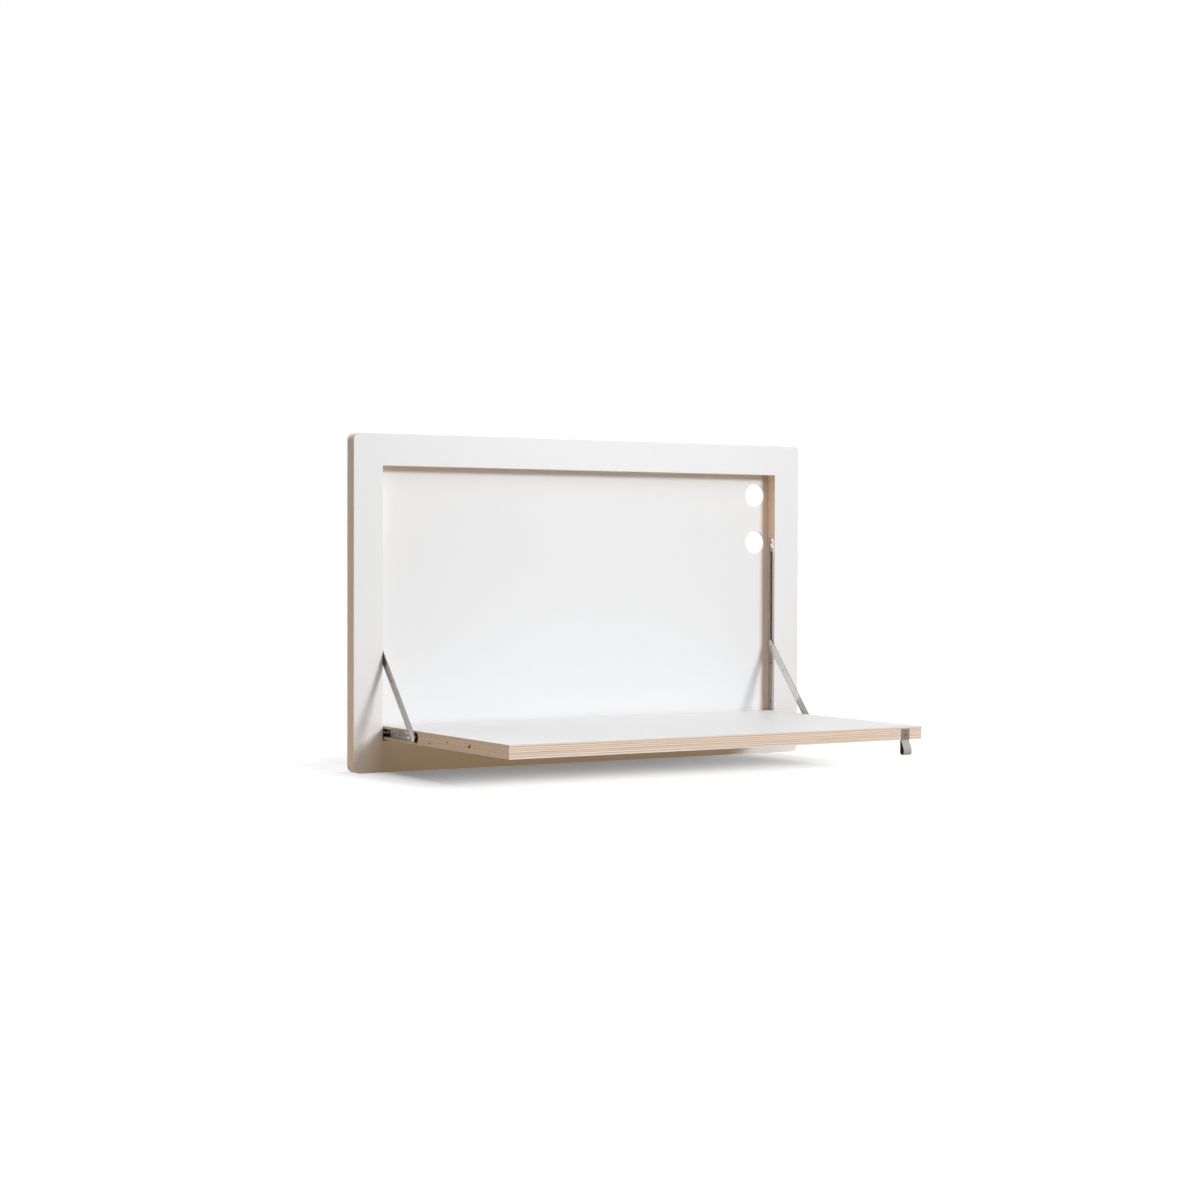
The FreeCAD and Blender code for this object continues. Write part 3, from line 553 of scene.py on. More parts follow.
# %% Colours and scales of birch
PALE_PLY = (0.98, 0.85, 0.73, 1)
PINK_PLY = (0.96, 0.80, 0.68, 1)
END_PLY = (0.68, 0.525, 0.41, 1)
GLUE_LINE = (0.55, 0.38, 0.27, 1)
KNOT_BROWN = (0.26, 0.125, 0.07, 1)
SCORCH_AND_SHADE = (0.21, 0.115, 0.07, 1)
GRAIN_ALONG = 12
GRAIN_ACROSS = 850
LIVELY_PLY = 0.55
FACE_PLY = 0.4
SIDE_TINT = (0.95, 0.905, 0.81)
WANDER = 5
BANDS = (6, 300, 300)
GLUE_PATCHES = (11, 160, 160)
MINERAL_STREAKS = (22, 420, 420)
print("grain is", round(GRAIN_ACROSS / GRAIN_ALONG), "times as long as it is wide")


# %% Grain and knots
def grain(paint, point, axis):
    """Streaks of wood that run along one axis."""
    per_metre = [GRAIN_ACROSS] * 3
    per_metre[axis] = GRAIN_ALONG
    return paint.noise(point, per_metre, detail=3, roughness=0.65)


def with_knots(paint, point, streaks, colour, knots):
    """A colour with knots in it. Each has a centre, its three half sizes and a depth of colour."""
    for centre, sizes, depth in knots:
        factors = [1 / size for size in sizes]
        scaled_centre = [at * factor for at, factor in zip(centre, factors)]
        away = paint.distance(paint.stretched(point, factors), scaled_centre)
        spot = ((1 - away) * 2.5).clamped() * (0.35 + streaks * 0.9).clamped()
        colour = paint.mix((spot * depth).clamped(), colour, KNOT_BROWN)
    return colour


print("one streak in", round(1000 / GRAIN_ACROSS, 1), "mm")


# %% Birch plywood
def birch_plywood(name, low, high, plies, layer_axis, on_sides, scorched_and_shaded=None, knots=(), tint_by_place=None):
    """Plywood whose layers lie across layer_axis.

    on_sides makes 1 on the faces that look along x, and scorched_and_shaded makes 1 in the pockets,
    which the cutter has scorched a little and which are painted darker for their shade. tint_by_place
    gives the colour a tint by place.
    """
    paint = new_finish(name)
    point = paint.point()
    axes = paint.axes(point)
    ply = (high[layer_axis] - low[layer_axis]) / plies
    wander = paint.noise(point, WANDER, detail=0.5)
    depth = (axes[layer_axis] - low[layer_axis]) / ply + (wander - 0.5) * LIVELY_PLY
    depth = depth.either(FACE_PLY).least(plies - FACE_PLY)
    index = depth.floor()
    crossing = abs(index % 2)
    streaks_along = grain(paint, point, 0)
    streaks = streaks_along + (grain(paint, point, 3 - layer_axis) - streaks_along) * crossing
    sides = on_sides(*axes)
    end_grain = abs(crossing - sides)
    each = paint.node("ShaderNodeTexWhiteNoise", {"noise_dimensions": "1D"}, {"W": index})
    bands = paint.noise(point, BANDS, detail=3, roughness=0.6)
    pale = paint.mix((bands * 3.2 - 1.1).clamped(), PALE_PLY, PINK_PLY)
    colour = paint.mix(end_grain * (0.55 + bands * 0.6) * (1 - sides * 0.65), pale, END_PLY)
    glue = (1 - (0.5 - abs(depth - index - 0.5)) * 7).clamped()
    thick_and_thin = paint.noise(point, GLUE_PATCHES)
    colour = paint.mix(glue * (thick_and_thin * 2.2 - 0.75).clamped(), colour, GLUE_LINE)
    mineral = (paint.noise(point, MINERAL_STREAKS, detail=1) * 6 - 4).clamped()
    colour = paint.mix(mineral * 0.45, colour, GLUE_LINE)
    colour = with_knots(paint, point, streaks, colour, knots)
    colour = paint.tint(colour, 0.77 + streaks * 0.26 + each * 0.15 + (1 - bands) * 0.08)
    colour = paint.mix(sides, colour, paint.stretched(colour, SIDE_TINT))
    if tint_by_place:
        colour = tint_by_place(paint, colour, *axes)
    if scorched_and_shaded:
        # Scorch and painted shade in the pockets.
        colour = paint.mix(scorched_and_shaded(*axes) * 0.85, colour, SCORCH_AND_SHADE)
    return paint.surface(Base_Color=colour,
                         Roughness=0.50 + end_grain * 0.12 + streaks * 0.1,
                         Normal=paint.bump(streaks - glue * 0.5, 0.03 * MM))


print("plywood ready")

# %% Where each board has its edges and its pockets
leaf_low, leaf_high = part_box("leaf_core")
SIDE_SKIN = 0.6 * MM
ROUTED_DEPTH = 20 * MM
POCKET_HALF_HEIGHT = 8.2 * MM
POCKET_PAST_FOOT = 12 * MM
POCKET_PAST_HINGE = 6 * MM
GROOVE_HALF_WIDTH = 7.5 * MM
GROOVE_PAST_RAIL = 1 * MM


def leaf_sides(x, y, z):
    """The leaf's left and right edges."""
    return abs(x) > leaf_high.x - SIDE_SKIN


def outer_sides(x, y, z):
    """The outer left and right edges of the frame and of the back panel."""
    return abs(x) > core_high.x - SIDE_SKIN


def frame_sides(x, y, z):
    """The frame's outer left and right edges, and those of its opening."""
    inside = (abs(abs(x) - opening_x) < SIDE_SKIN) * (abs(z) < opening_z + SIDE_SKIN)
    return outer_sides(x, y, z).either(inside)


def leaf_pockets(x, y, z):
    """The walls and floors of the pockets in the leaf's side edges."""
    deeper = leaf_high.x - abs(x)
    return (deeper > SIDE_SKIN) * (deeper < ROUTED_DEPTH) * (abs(z - hinge.z) < POCKET_HALF_HEIGHT) \
        * (y > arm_foot.y - POCKET_PAST_FOOT) * (y < hinge.y + POCKET_PAST_HINGE)


def frame_pockets(x, y, z):
    """The grooves of the rails."""
    deeper = abs(x) - opening_x
    return (deeper > SIDE_SKIN) * (deeper < ROUTED_DEPTH) * (abs(y - hinge.y) < GROOVE_HALF_WIDTH) \
        * (z < rail_high.z + GROOVE_PAST_RAIL) * (z > rail_low.z - GROOVE_PAST_RAIL)


print("pockets reach", round(ROUTED_DEPTH / MM), "mm into the wood")

# %% Painted light inside the opening, and knots
OUTER_WOOD_TINT = (0.98, 0.945, 0.96)
INNER_PAINTED_LIGHT = (1.10, 1.05, 1.00)
KNOT_REACH = 3 * MM
KNOTS_ON_LEFT = ((157.3, -4.9, 5.0, 1.2, 1.0), (211.3, 0.3, 2.4, 1.8, 1.2),
                 (276.6, -1.6, 3.6, 2.7, 1.35))
KNOTS_IN_FRONT = ((166.0, -4.4, 3.0, 1.3, 0.45), (176.0, -3.6, 13.0, 1.6, 0.16),
                  (192.0, -2.9, 5.0, 1.2, 0.20), (297.5, -0.2, 9.0, 1.2, 0.22))


def painted_light_inside(paint, colour, x, y, z):
    """The inside of the frame's opening is painted lighter, for the light the white panel throws on it, and
    the outside is a shade browner.
    """
    outside = outer_sides(x, y, z).either(abs(z) > core_high.z - SIDE_SKIN)
    return paint.mix(outside, paint.stretched(colour, INNER_PAINTED_LIGHT), paint.stretched(colour, OUTER_WOOD_TINT))


leaf_knots = [((leaf_low.x, hinge.y - out * MM, hinge.z + rise * MM),
               (KNOT_REACH, long * MM, high * MM), depth)
              for out, rise, long, high, depth in KNOTS_ON_LEFT]
leaf_knots += [((across * MM, leaf_low.y, hinge.z + rise * MM),
                (long * MM, KNOT_REACH, high * MM), depth)
               for across, rise, long, high, depth in KNOTS_IN_FRONT]
print(len(leaf_knots), "knots in the leaf's edges")

# %% Plywood of the three boards
leaf_birch = birch_plywood("leaf_birch", leaf_low, leaf_high, 13, 2, leaf_sides, leaf_pockets, leaf_knots)
# The frame's opening is painted lighter inside.
frame_birch = birch_plywood("frame_birch", core_low, core_high, 13, 1, frame_sides, frame_pockets,
                            tint_by_place=painted_light_inside)
panel_birch = birch_plywood("panel_birch", *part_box("back_panel_board"), 3, 1, outer_sides)
print(leaf_birch.name, frame_birch.name, panel_birch.name)

# %% [markdown]
# ## Metals
#
# The rails, plates and arms are strip steel with a satin finish: fine lines from rolling run along
# each of them, and they break up the gloss. The shader's own anisotropy could stretch the gloss,
# but it shows no lines, so they are a noise drawn out along the strip, in gloss and bump. A Mapping
# node turns it to the strip. The side of an arm that looks at the middle of the table is painted
# brighter, for the bright panel it reflects, and darker round its foot, for grease and shade. The
# side that lies against the rail is painted darker, for the shade it reflects, and darker still round
# the head, for grease and the shade of the stile. The hinge plates are painted dark for the shade in
# the leaf's edge. Cut edges are darker. Screws and rivets are zinc plated and cloudier, from the
# bright heads on the arms to aged ones in the leaf.

# %% Satin steel
RAIL_STEEL = ((0.52, 0.505, 0.495, 1), (0.74, 0.725, 0.71, 1))
LIT_SIDE_STEEL = ((0.60, 0.585, 0.575, 1), (0.86, 0.845, 0.83, 1))
SHADED_SIDE_STEEL = ((0.36, 0.335, 0.32, 1), (0.62, 0.595, 0.575, 1))
SHADED_PLATE_STEEL = ((0.19, 0.18, 0.17, 1), (0.38, 0.365, 0.35, 1))
SHEARED_STEEL = ((0.20, 0.185, 0.175, 1), (0.36, 0.345, 0.33, 1))
GREASE_AND_SHADE = (0.12, 0.105, 0.095, 1)
ROLLING_LINES = (2600, 22, 2600)
SMEARS = (160, 35, 160)


def satin_steel(name, way, greys, greased_and_shaded_at=None, reach=0, patch_depth=0):
    """Strip steel whose rolling lines run along the way given, painted darker round one point if given, for
    grease and shade.
    """
    paint = new_finish(name)
    point = paint.point()
    turn = (math.atan2(way.z, way.y), 0, 0)
    laid = paint.node("ShaderNodeMapping", {"vector_type": "TEXTURE"}, {0: point, "Rotation": turn})
    lines = paint.noise(laid, ROLLING_LINES, detail=3, roughness=0.6)
    smears = paint.noise(laid, SMEARS, detail=3)
    colour = paint.mix(lines * 0.7 + smears * 0.3, *greys)
    if greased_and_shaded_at:
        away = paint.distance(paint.stretched(point, (0, 1, 1)), (0, greased_and_shaded_at.y, greased_and_shaded_at.z))
        patch = ((1 - away / reach) * 6 + (smears - 0.5)).clamped()
        colour = paint.mix(patch * patch_depth, colour, GREASE_AND_SHADE)
    return paint.surface(Base_Color=colour,
                         Metallic=1.0,
                         Roughness=0.13 + lines * 0.10 + smears * 0.12,
                         Normal=paint.bump(lines, 0.006 * MM))


UPRIGHT = Vector((0, 0, 1))
LEVEL = Vector((0, 1, 0))
ALONG_ARM = arm_head - arm_foot
upright_steel = satin_steel("satin_steel_upright", UPRIGHT, RAIL_STEEL)
level_steel = satin_steel("satin_steel_level", LEVEL, RAIL_STEEL)
# The hinge plates are painted dark for the shade in the leaf's edge.
painted_shade_plate_steel = satin_steel("satin_steel_plate_shaded", LEVEL, SHADED_PLATE_STEEL)
# The hinge end of the plates is painted near black for grease and shade.
shaded_steel = satin_steel("satin_steel_greased_and_shaded", LEVEL, (GREASE_AND_SHADE, SHEARED_STEEL[0]))
# The inner side of the arms is painted brighter for the panel it reflects, and darker round the foot for
# grease and shade.
painted_bright_steel = satin_steel("satin_steel_painted_bright", ALONG_ARM, LIT_SIDE_STEEL, arm_foot, 47 * MM, 0.5)
# The rail side is painted darker for the shade it reflects, and darker still round the head for grease and
# the stile's shade.
painted_dark_steel = satin_steel("satin_steel_painted_dark", ALONG_ARM, SHADED_SIDE_STEEL, arm_head, 30 * MM, 0.9)
sheared_steel = satin_steel("sheared_steel", ALONG_ARM, SHEARED_STEEL)
# Bright and dull are the painted light and painted shade of the arms' two sides.
print("satin steel in three directions, bright and dull")


# %% Zinc plating and ferrite
def zinc_plated(name, dark, light):
    """Zinc plating between two greys, cloudy and a little rough."""
    paint = new_finish(name)
    point = paint.point()
    clouds = paint.noise(point, 380, detail=3)
    dust = paint.noise(point, 2200, detail=1)
    return paint.surface(Base_Color=paint.mix(clouds, dark, light),
                         Metallic=1.0,
                         Roughness=0.24 + clouds * 0.2 + dust * 0.08,
                         Normal=paint.bump(dust, 0.006 * MM))


def grainy_dark(name, dark, light):
    """A dull dark surface with a fine grain."""
    paint = new_finish(name)
    grains = paint.noise(paint.point(), 1800)
    return paint.surface(Base_Color=paint.mix(grains, dark, light),
                         Roughness=0.5 + grains * 0.25,
                         Normal=paint.bump(grains, 0.03 * MM))


zinc = zinc_plated("zinc_plated", grey(0.5), (0.80, 0.795, 0.77, 1))
grey_zinc = zinc_plated("grey_zinc", (0.26, 0.265, 0.27, 1), (0.50, 0.50, 0.495, 1))
aged_zinc = zinc_plated("aged_zinc", (0.13, 0.12, 0.12, 1), (0.36, 0.36, 0.37, 1))
magnet_grey = grainy_dark("ferrite", (0.035, 0.034, 0.033, 1), (0.11, 0.105, 0.10, 1))
# Cross recesses and the wall of the arms' small hole are painted near black for the shade in them.
recess_painted_shade = grainy_dark("recess_painted_shade", (0.012, 0.010, 0.009, 1), (0.04, 0.036, 0.033, 1))
print(zinc.name, grey_zinc.name, aged_zinc.name, magnet_grey.name, recess_painted_shade.name)

# %% [markdown]
# ## Leather
#
# The pull strap is one strip of grey leather. Its outside is buffed to a soft nap, which looks
# mottled, so it has no pores as smooth leather would: two noises, one for the mottle and one for
# the nap, are enough. Its cut edges are darker, and its inside, the flesh side, is painted near black
# for the shade inside the narrow loop. Where it is pressed flat in the leaf's edge it is darker than
# in the free loop, as pressed leather is, and painted darker still for the shade of the edge; the
# tone changes by height.

# %% Three sides of one leather
LOOP_GREY = (0.50, 0.475, 0.455, 1)
PRESSED_AND_SHADED_GREY = (0.27, 0.235, 0.215, 1)
FLESH_SIDE_AND_LOOP_SHADE = (0.10, 0.075, 0.055, 1)
TONE_BLEND = 1.2 * MM
under_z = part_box("leaf_under_laminate")[0].z


def leather(name, pressed, loose):
    """Leather in two tones: where it is pressed in the leaf's edge and painted darker for its shade, and
    below the leaf.
    """
    paint = new_finish(name)
    point = paint.point()
    mottle = paint.noise(point, 300, detail=5, roughness=0.75)
    nap = paint.noise(point, 3200)
    z = paint.axes(point)[2]
    low = ((under_z - z) / TONE_BLEND + 0.5 + (mottle - 0.5) * 0.6).clamped()
    colour = paint.mix(low, pressed, loose)
    return paint.surface(Base_Color=paint.tint(colour, 0.55 + mottle * 0.80 + nap * 0.10),
                         Roughness=0.72 + mottle * 0.2,
                         Normal=paint.bump(mottle * 0.6 + nap * 0.4, 0.10 * MM))


# Pressed and painted darker in the leaf's edge, lighter in the loop.
leather_outside = leather("leather_outside", PRESSED_AND_SHADED_GREY, LOOP_GREY)
# The flesh side, painted near black for the shade inside the loop.
leather_inside = leather("leather_inside", FLESH_SIDE_AND_LOOP_SHADE, FLESH_SIDE_AND_LOOP_SHADE)
leather_edge = leather("leather_edge", (0.13, 0.105, 0.09, 1), (0.20, 0.17, 0.15, 1))
print("three leathers")

# %% [markdown]
# ## A small workshop
#
# The metal pieces are simple shapes with crisp, slightly broken edges, and those edges are what
# makes them look like metal. Two helpers make nearly all of them. One makes a flat bar with round
# ends: a cube whose four corners are bevelled by half its width. The other turns a round piece as
# a lathe does: a disc is extruded and resized, station by station. Holes are cut with Boolean
# modifiers, and a narrow Bevel modifier breaks the edges at the end.


# %% Selecting and opening
def let_go():
    """Leaves nothing selected, so that an operator touches only what is added next."""
    bpy.ops.object.select_all(action="DESELECT")


def hold(piece):
    """Makes one object the only one that is selected, and active."""
    let_go()
    piece.select_set(True)
    bpy.context.view_layer.objects.active = piece


def opened(name):
    """Names what was just added, puts its place into its mesh, and opens it in edit mode."""
    piece = bpy.context.object
    piece.name = piece.data.name = name
    bpy.ops.object.transform_apply(location=True, rotation=True, scale=True)
    bpy.ops.object.mode_set(mode="EDIT")
    return piece


def block(name, centre, size, rotation=(0, 0, 0)):
    """A cube that is stretched to a size and turned about its centre, open in edit mode."""
    let_go()
    bpy.ops.mesh.primitive_cube_add(size=1, location=centre, rotation=rotation, scale=size)
    return opened(name)


print("tools laid out")


# %% Working on an open mesh
def pick(kind, test):
    """In edit mode, selects the vertices, edges or faces that pass the test, and nothing else."""
    bpy.ops.mesh.select_mode(type=kind)
    bpy.ops.mesh.select_all(action="DESELECT")
    shape = bpy.context.object.data
    mesh = bmesh.from_edit_mesh(shape)
    for part in {"VERT": mesh.verts, "EDGE": mesh.edges, "FACE": mesh.faces}[kind]:
        if test(part):
            part.select_set(True)
    mesh.select_flush_mode()
    bmesh.update_edit_mesh(shape)


def closed_up():
    """Merges doubles, turns every face outwards and goes back to object mode."""
    bpy.ops.mesh.select_all(action="SELECT")
    bpy.ops.mesh.remove_doubles(threshold=0.002 * MM)
    bpy.ops.mesh.normals_make_consistent(inside=False)
    bpy.ops.object.mode_set(mode="OBJECT")
    return bpy.context.object


print("vertices, edges and faces are picked by place or by direction")


# %% Modifiers and smooth shading
def modified(piece, kind, **settings):
    """Gives a piece a modifier with these settings, and applies it."""
    hold(piece)
    bpy.ops.object.modifier_add(type=kind)
    added = piece.modifiers[-1]
    for key, value in settings.items():
        setattr(added, key, value)
    bpy.ops.object.modifier_apply(modifier=added.name)
    return piece


def smoothed(piece, degrees=40):
    """Shades a piece smooth wherever its faces meet at less than this angle."""
    hold(piece)
    bpy.ops.object.shade_smooth_by_angle(angle=math.radians(degrees))
    return piece


print("modifiers are applied at once")

# %% Flat bars with round ends
END_SEGMENTS = 14
X_AXIS = Vector((1, 0, 0))
Y_AXIS = Vector((0, 1, 0))
Z_AXIS = Vector((0, 0, 1))


def parallel_to(axis):
    """A test for the edges that are parallel to an axis."""
    def test(edge):
        way = edge.verts[1].co - edge.verts[0].co
        return abs(way @ axis) > 0.99 * way.length
    return test


def flat_bar(name, start, end, width, x0, x1):
    """A flat bar between two planes of x, whose ends are round about start and end."""
    way = end - start
    length = math.hypot(way.y, way.z)
    middle = ((x0 + x1) / 2, (start.y + end.y) / 2, (start.z + end.z) / 2)
    block(name, middle, (abs(x1 - x0), width, length + width), (math.atan2(-way.y, way.z), 0, 0))
    pick("EDGE", parallel_to(X_AXIS))
    bpy.ops.mesh.bevel(offset=width / 2, segments=END_SEGMENTS, affect="EDGES")
    return closed_up()


print("a bar has", 2 * END_SEGMENTS, "steps round each end")

# %% Turned pieces
TURNED_STEPS = 40


def turned(name, centre, way, stations, ring=False, steps=TURNED_STEPS):
    """A round piece about an axis. Each station is a distance along the axis and a radius, in mm."""
    let_go()
    first_along, first_radius = stations[0]
    turn = way.to_track_quat("Z", "Y").to_euler()
    bpy.ops.mesh.primitive_circle_add(vertices=steps, radius=first_radius * MM, rotation=turn,
                                      fill_type="NOTHING" if ring else "NGON",
                                      location=centre + way * first_along * MM)
    opened(name)
    route = stations + stations[:1] if ring else stations
    for (along, radius), (next_along, next_radius) in zip(route, route[1:]):
        step = way * (next_along - along) * MM
        if ring:
            bpy.ops.mesh.extrude_edges_move(TRANSFORM_OT_translate={"value": step})
        else:
            bpy.ops.mesh.extrude_region_move(TRANSFORM_OT_translate={"value": step})
        bpy.ops.transform.resize(value=(next_radius / radius,) * 3,
                                 center_override=centre + way * next_along * MM)
    return closed_up()


print("a turned piece has", TURNED_STEPS, "sides")

# %% Cutting and easing
SHARP_EDGE = math.radians(35)


def cut(piece, *cutters):
    """Cuts the cutters out of a piece with Boolean modifiers, and throws them away."""
    for cutter in cutters:
        modified(piece, "BOOLEAN", operation="DIFFERENCE", solver="EXACT", object=cutter)
        bpy.data.objects.remove(cutter)
    return piece


def eased(piece, width):
    """Breaks the sharp edges of a piece and shades it smooth between them."""
    modified(piece, "BEVEL", width=width, segments=2, limit_method="ANGLE", angle_limit=SHARP_EDGE)
    return smoothed(piece)


print("edges over", round(math.degrees(SHARP_EDGE)), "degrees are broken")


# %% Copying
def copied(piece, name):
    """A copy of a piece with its own mesh, selected and active."""
    hold(piece)
    bpy.ops.object.duplicate(linked=False)
    copy = bpy.context.object
    copy.name = copy.data.name = name
    return copy


def set_in(piece, name, way, place):
    """A copy of a piece that was made about Z, with its Z axis turned to the way given."""
    copy = copied(piece, name)
    copy.location = place
    copy.rotation_euler = way.to_track_quat("Z", "Y").to_euler()
    bpy.ops.object.transform_apply(location=True, rotation=True, scale=True)
    return copy


def mirrored(piece, name):
    """The left one of a piece that was made on the right."""
    copy = copied(piece, name)
    bpy.ops.object.mode_set(mode="EDIT")
    bpy.ops.mesh.select_all(action="SELECT")
    bpy.ops.transform.resize(value=(-1, 1, 1), center_override=(0, 0, 0))
    bpy.ops.mesh.normals_make_consistent(inside=False)
    bpy.ops.object.mode_set(mode="OBJECT")
    return copy


print("ready to copy")


# %% Handing a finished piece over
def marked(piece, test, finish=1):
    """Gives the faces that pass the test another finish of the piece than the first, number 0."""
    chosen = [face for face in piece.data.polygons if test(face)]
    for face in chosen:
        face.material_index = finish
    print(len(chosen), "faces of", piece.name, "get finish", finish)
    return piece


def fitted(piece, body, slot, nodes, *finishes):
    """Gives a piece its finish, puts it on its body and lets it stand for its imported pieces."""
    for finish in finishes:
        piece.data.materials.append(finish)
    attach(piece, body)
    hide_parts(*nodes)
    print(piece.name, len(piece.data.polygons), "faces on", body)
    return piece


def pair(piece, name, body, slot, node, *finishes):
    """Hands over a right piece and its left copy. The body may be one of a left and right pair."""
    left_body, right_body = (body, body) if isinstance(body, str) else body
    other = mirrored(piece, "left_" + name)
    piece.name = piece.data.name = "right_" + name
    fitted(other, left_body, slot, ["left_" + node], *finishes)
    fitted(piece, right_body, slot, ["right_" + node], *finishes)


def sharing_pair(piece, name, body, slot, node, finish):
    """Hands over a right piece and its left copy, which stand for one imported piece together."""
    piece.name = piece.data.name = "right_" + name
    for one in (piece, mirrored(piece, "left_" + name)):
        fitted(one, body, slot, [node], finish)


print("ready to fit")

# %% [markdown]
# ## Screws
#
# Countersunk wood screws hold everything. Each could be turned in its place, but one is enough: it
# is turned about the Z axis with its flat head at zero, its cross recess is cut by two wedges, and
# its thread is a thin triangle that the Screw modifier winds up the shank. It is then copied to
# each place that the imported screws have. The back panel's screws are shorter, so there are two
# lengths of it.

# %% The cross recess
SCREW_HEAD_R = 3.0
SCREW_SHANK_R = 1.5
SCREW_CORE_R = 1.05
SCREW_TIP = 4.0
HEAD_DEPTH = SCREW_HEAD_R - SCREW_SHANK_R
DRIVE_SPAN = 3.2
DRIVE_WIDTH = 0.75
DRIVE_DEPTH = 1.3
DRIVE_TAPER = 0.45
DRIVE_ABOVE = 0.1


def drive_wedges():
    """The two wedges of a cross recess. They narrow as they go down into a head that starts at zero."""
    wedges = []
    for turn in (0, math.pi / 2):
        block("wedge", (0, 0, (DRIVE_DEPTH - DRIVE_ABOVE) / 2 * MM),
              (DRIVE_SPAN * MM, DRIVE_WIDTH * MM, (DRIVE_DEPTH + DRIVE_ABOVE) * MM), (0, 0, turn))
        pick("FACE", lambda face: face.normal.z > 0.9)
        bpy.ops.transform.resize(value=(DRIVE_TAPER, DRIVE_TAPER, 1), center_override=(0, 0, 0))
        wedges.append(closed_up())
    return wedges


def in_recess(face):
    """True for the faces of a cross recess, which narrows downwards inside the head."""
    reach = (DRIVE_SPAN / 2 + 0.1) * MM - face.center.z / 2
    return face.center.z > 0.02 * MM and math.hypot(face.center.x, face.center.y) < reach


print("a recess is", DRIVE_DEPTH, "mm deep")

# %% The model screws
THREAD_PITCH = 1.1
THREAD_R = 0.33
THREAD_STEPS = 14
CORE_FROM = HEAD_DEPTH + 1.2
SCREW_STEPS = 32


def thread(length):
    """The helical ridge of a screw's thread, from under the head to the tip."""
    let_go()
    bpy.ops.mesh.primitive_circle_add(vertices=3, radius=THREAD_R * MM, fill_type="NOTHING",
                                      location=((SCREW_CORE_R + 0.1) * MM, 0, CORE_FROM * MM),
                                      rotation=(-math.pi / 2, 0, 0))
    ridge = opened("thread")
    bpy.ops.object.mode_set(mode="OBJECT")
    return modified(ridge, "SCREW", axis="Z", screw_offset=THREAD_PITCH * MM,
                    iterations=int((length - SCREW_TIP - CORE_FROM) / THREAD_PITCH),
                    steps=THREAD_STEPS, render_steps=THREAD_STEPS)


def wood_screw(name, length):
    """A countersunk screw about Z, its flat head at zero and its tip at its length, in mm."""
    stations = [(0, SCREW_HEAD_R - 0.12), (0.12, SCREW_HEAD_R), (0.3, SCREW_HEAD_R - 0.1),
                (HEAD_DEPTH, SCREW_SHANK_R), (HEAD_DEPTH + 0.8, SCREW_SHANK_R),
                (CORE_FROM, SCREW_CORE_R), (length - SCREW_TIP, SCREW_CORE_R),
                (length - 0.5, 0.3), (length, 0.05)]
    screw = turned(name, Vector(), Z_AXIS, stations, steps=SCREW_STEPS)
    cut(screw, *drive_wedges())
    ridge = thread(length)
    hold(screw)
    ridge.select_set(True)
    bpy.ops.object.join()
    return marked(smoothed(screw, 30), in_recess)


long_screw = wood_screw("long_screw", 16)
short_screw = wood_screw("short_screw", 14)
print("a screw has", len(long_screw.data.polygons), "faces")


# %% Screws in their places
def face_centre(box, way):
    """The centre of a box's face that looks against the way given."""
    low, high = box
    return Vector([(a + b) / 2 if abs(w) < 0.5 else (a if w > 0 else b)
                   for a, b, w in zip(low, high, way)])


def drive_screws(model, node, name, body, way_of, plating):
    """A copy of the model screw for each packed screw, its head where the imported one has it."""
    for count, box in enumerate(solids(node), 1):
        way = way_of(box)
        screw = set_in(model, f"{name}_{count}", way, face_centre(box, way))
        fitted(screw, body, "zinc_plated", [node], plating, recess_painted_shade)


def outwards(box):
    """Away from the middle of the table, to the left or the right."""
    return X_AXIS if box[0].x > 0 else -X_AXIS


drive_screws(long_screw, "rail_screws", "rail_screw", "frame", outwards, grey_zinc)
drive_screws(long_screw, "leaf_plate_screws", "plate_screw", "leaf", lambda box: -outwards(box),
             aged_zinc)
drive_screws(long_screw, "hanger_screws", "hanger_screw", "frame", lambda box: -Y_AXIS, grey_zinc)
drive_screws(short_screw, "back_panel_screws", "panel_screw", "frame", lambda box: -Y_AXIS, grey_zinc)
for model in (long_screw, short_screw):
    bpy.data.objects.remove(model)

# %% [markdown]
# ## Rails
#
# Each stile has a steel rail let into it, with a long slot for the slider, three countersunk
# screws and the hole of the hinge pin. Its outline could be drawn with all its holes and then
# thickened, but countersinks have sloping walls. So it is one flat bar, cut by another and by
# turned cutters, as a workshop would do it, and its edges are broken last.

# %% Cutters for holes
PIN_R = 2.5
PAST = 1.0


def countersink(place, way):
    """The cutter for one countersunk screw."""
    stations = [(-PAST, SCREW_HEAD_R + PAST + 0.05), (HEAD_DEPTH, SCREW_SHANK_R + 0.05),
                (HEAD_DEPTH + 3 * PAST, SCREW_SHANK_R + 0.05)]
    return turned("countersink", place, way, stations)


def drill(place, way, radius, depth):
    """The cutter for a round hole that goes in at a place. Radius and depth are in mm."""
    return turned("drill", place, way, [(-PAST, radius), (depth, radius)])


def level_with(point, x):
    """The place beside a point that has this x."""
    return Vector((x, point.y, point.z))


def right_ones(node):
    """The boxes of a shared piece's solids on the right."""
    return [box for box in solids(node) if box[0].x > 0]


print("a pin's hole is", 2 * PIN_R, "mm wide")

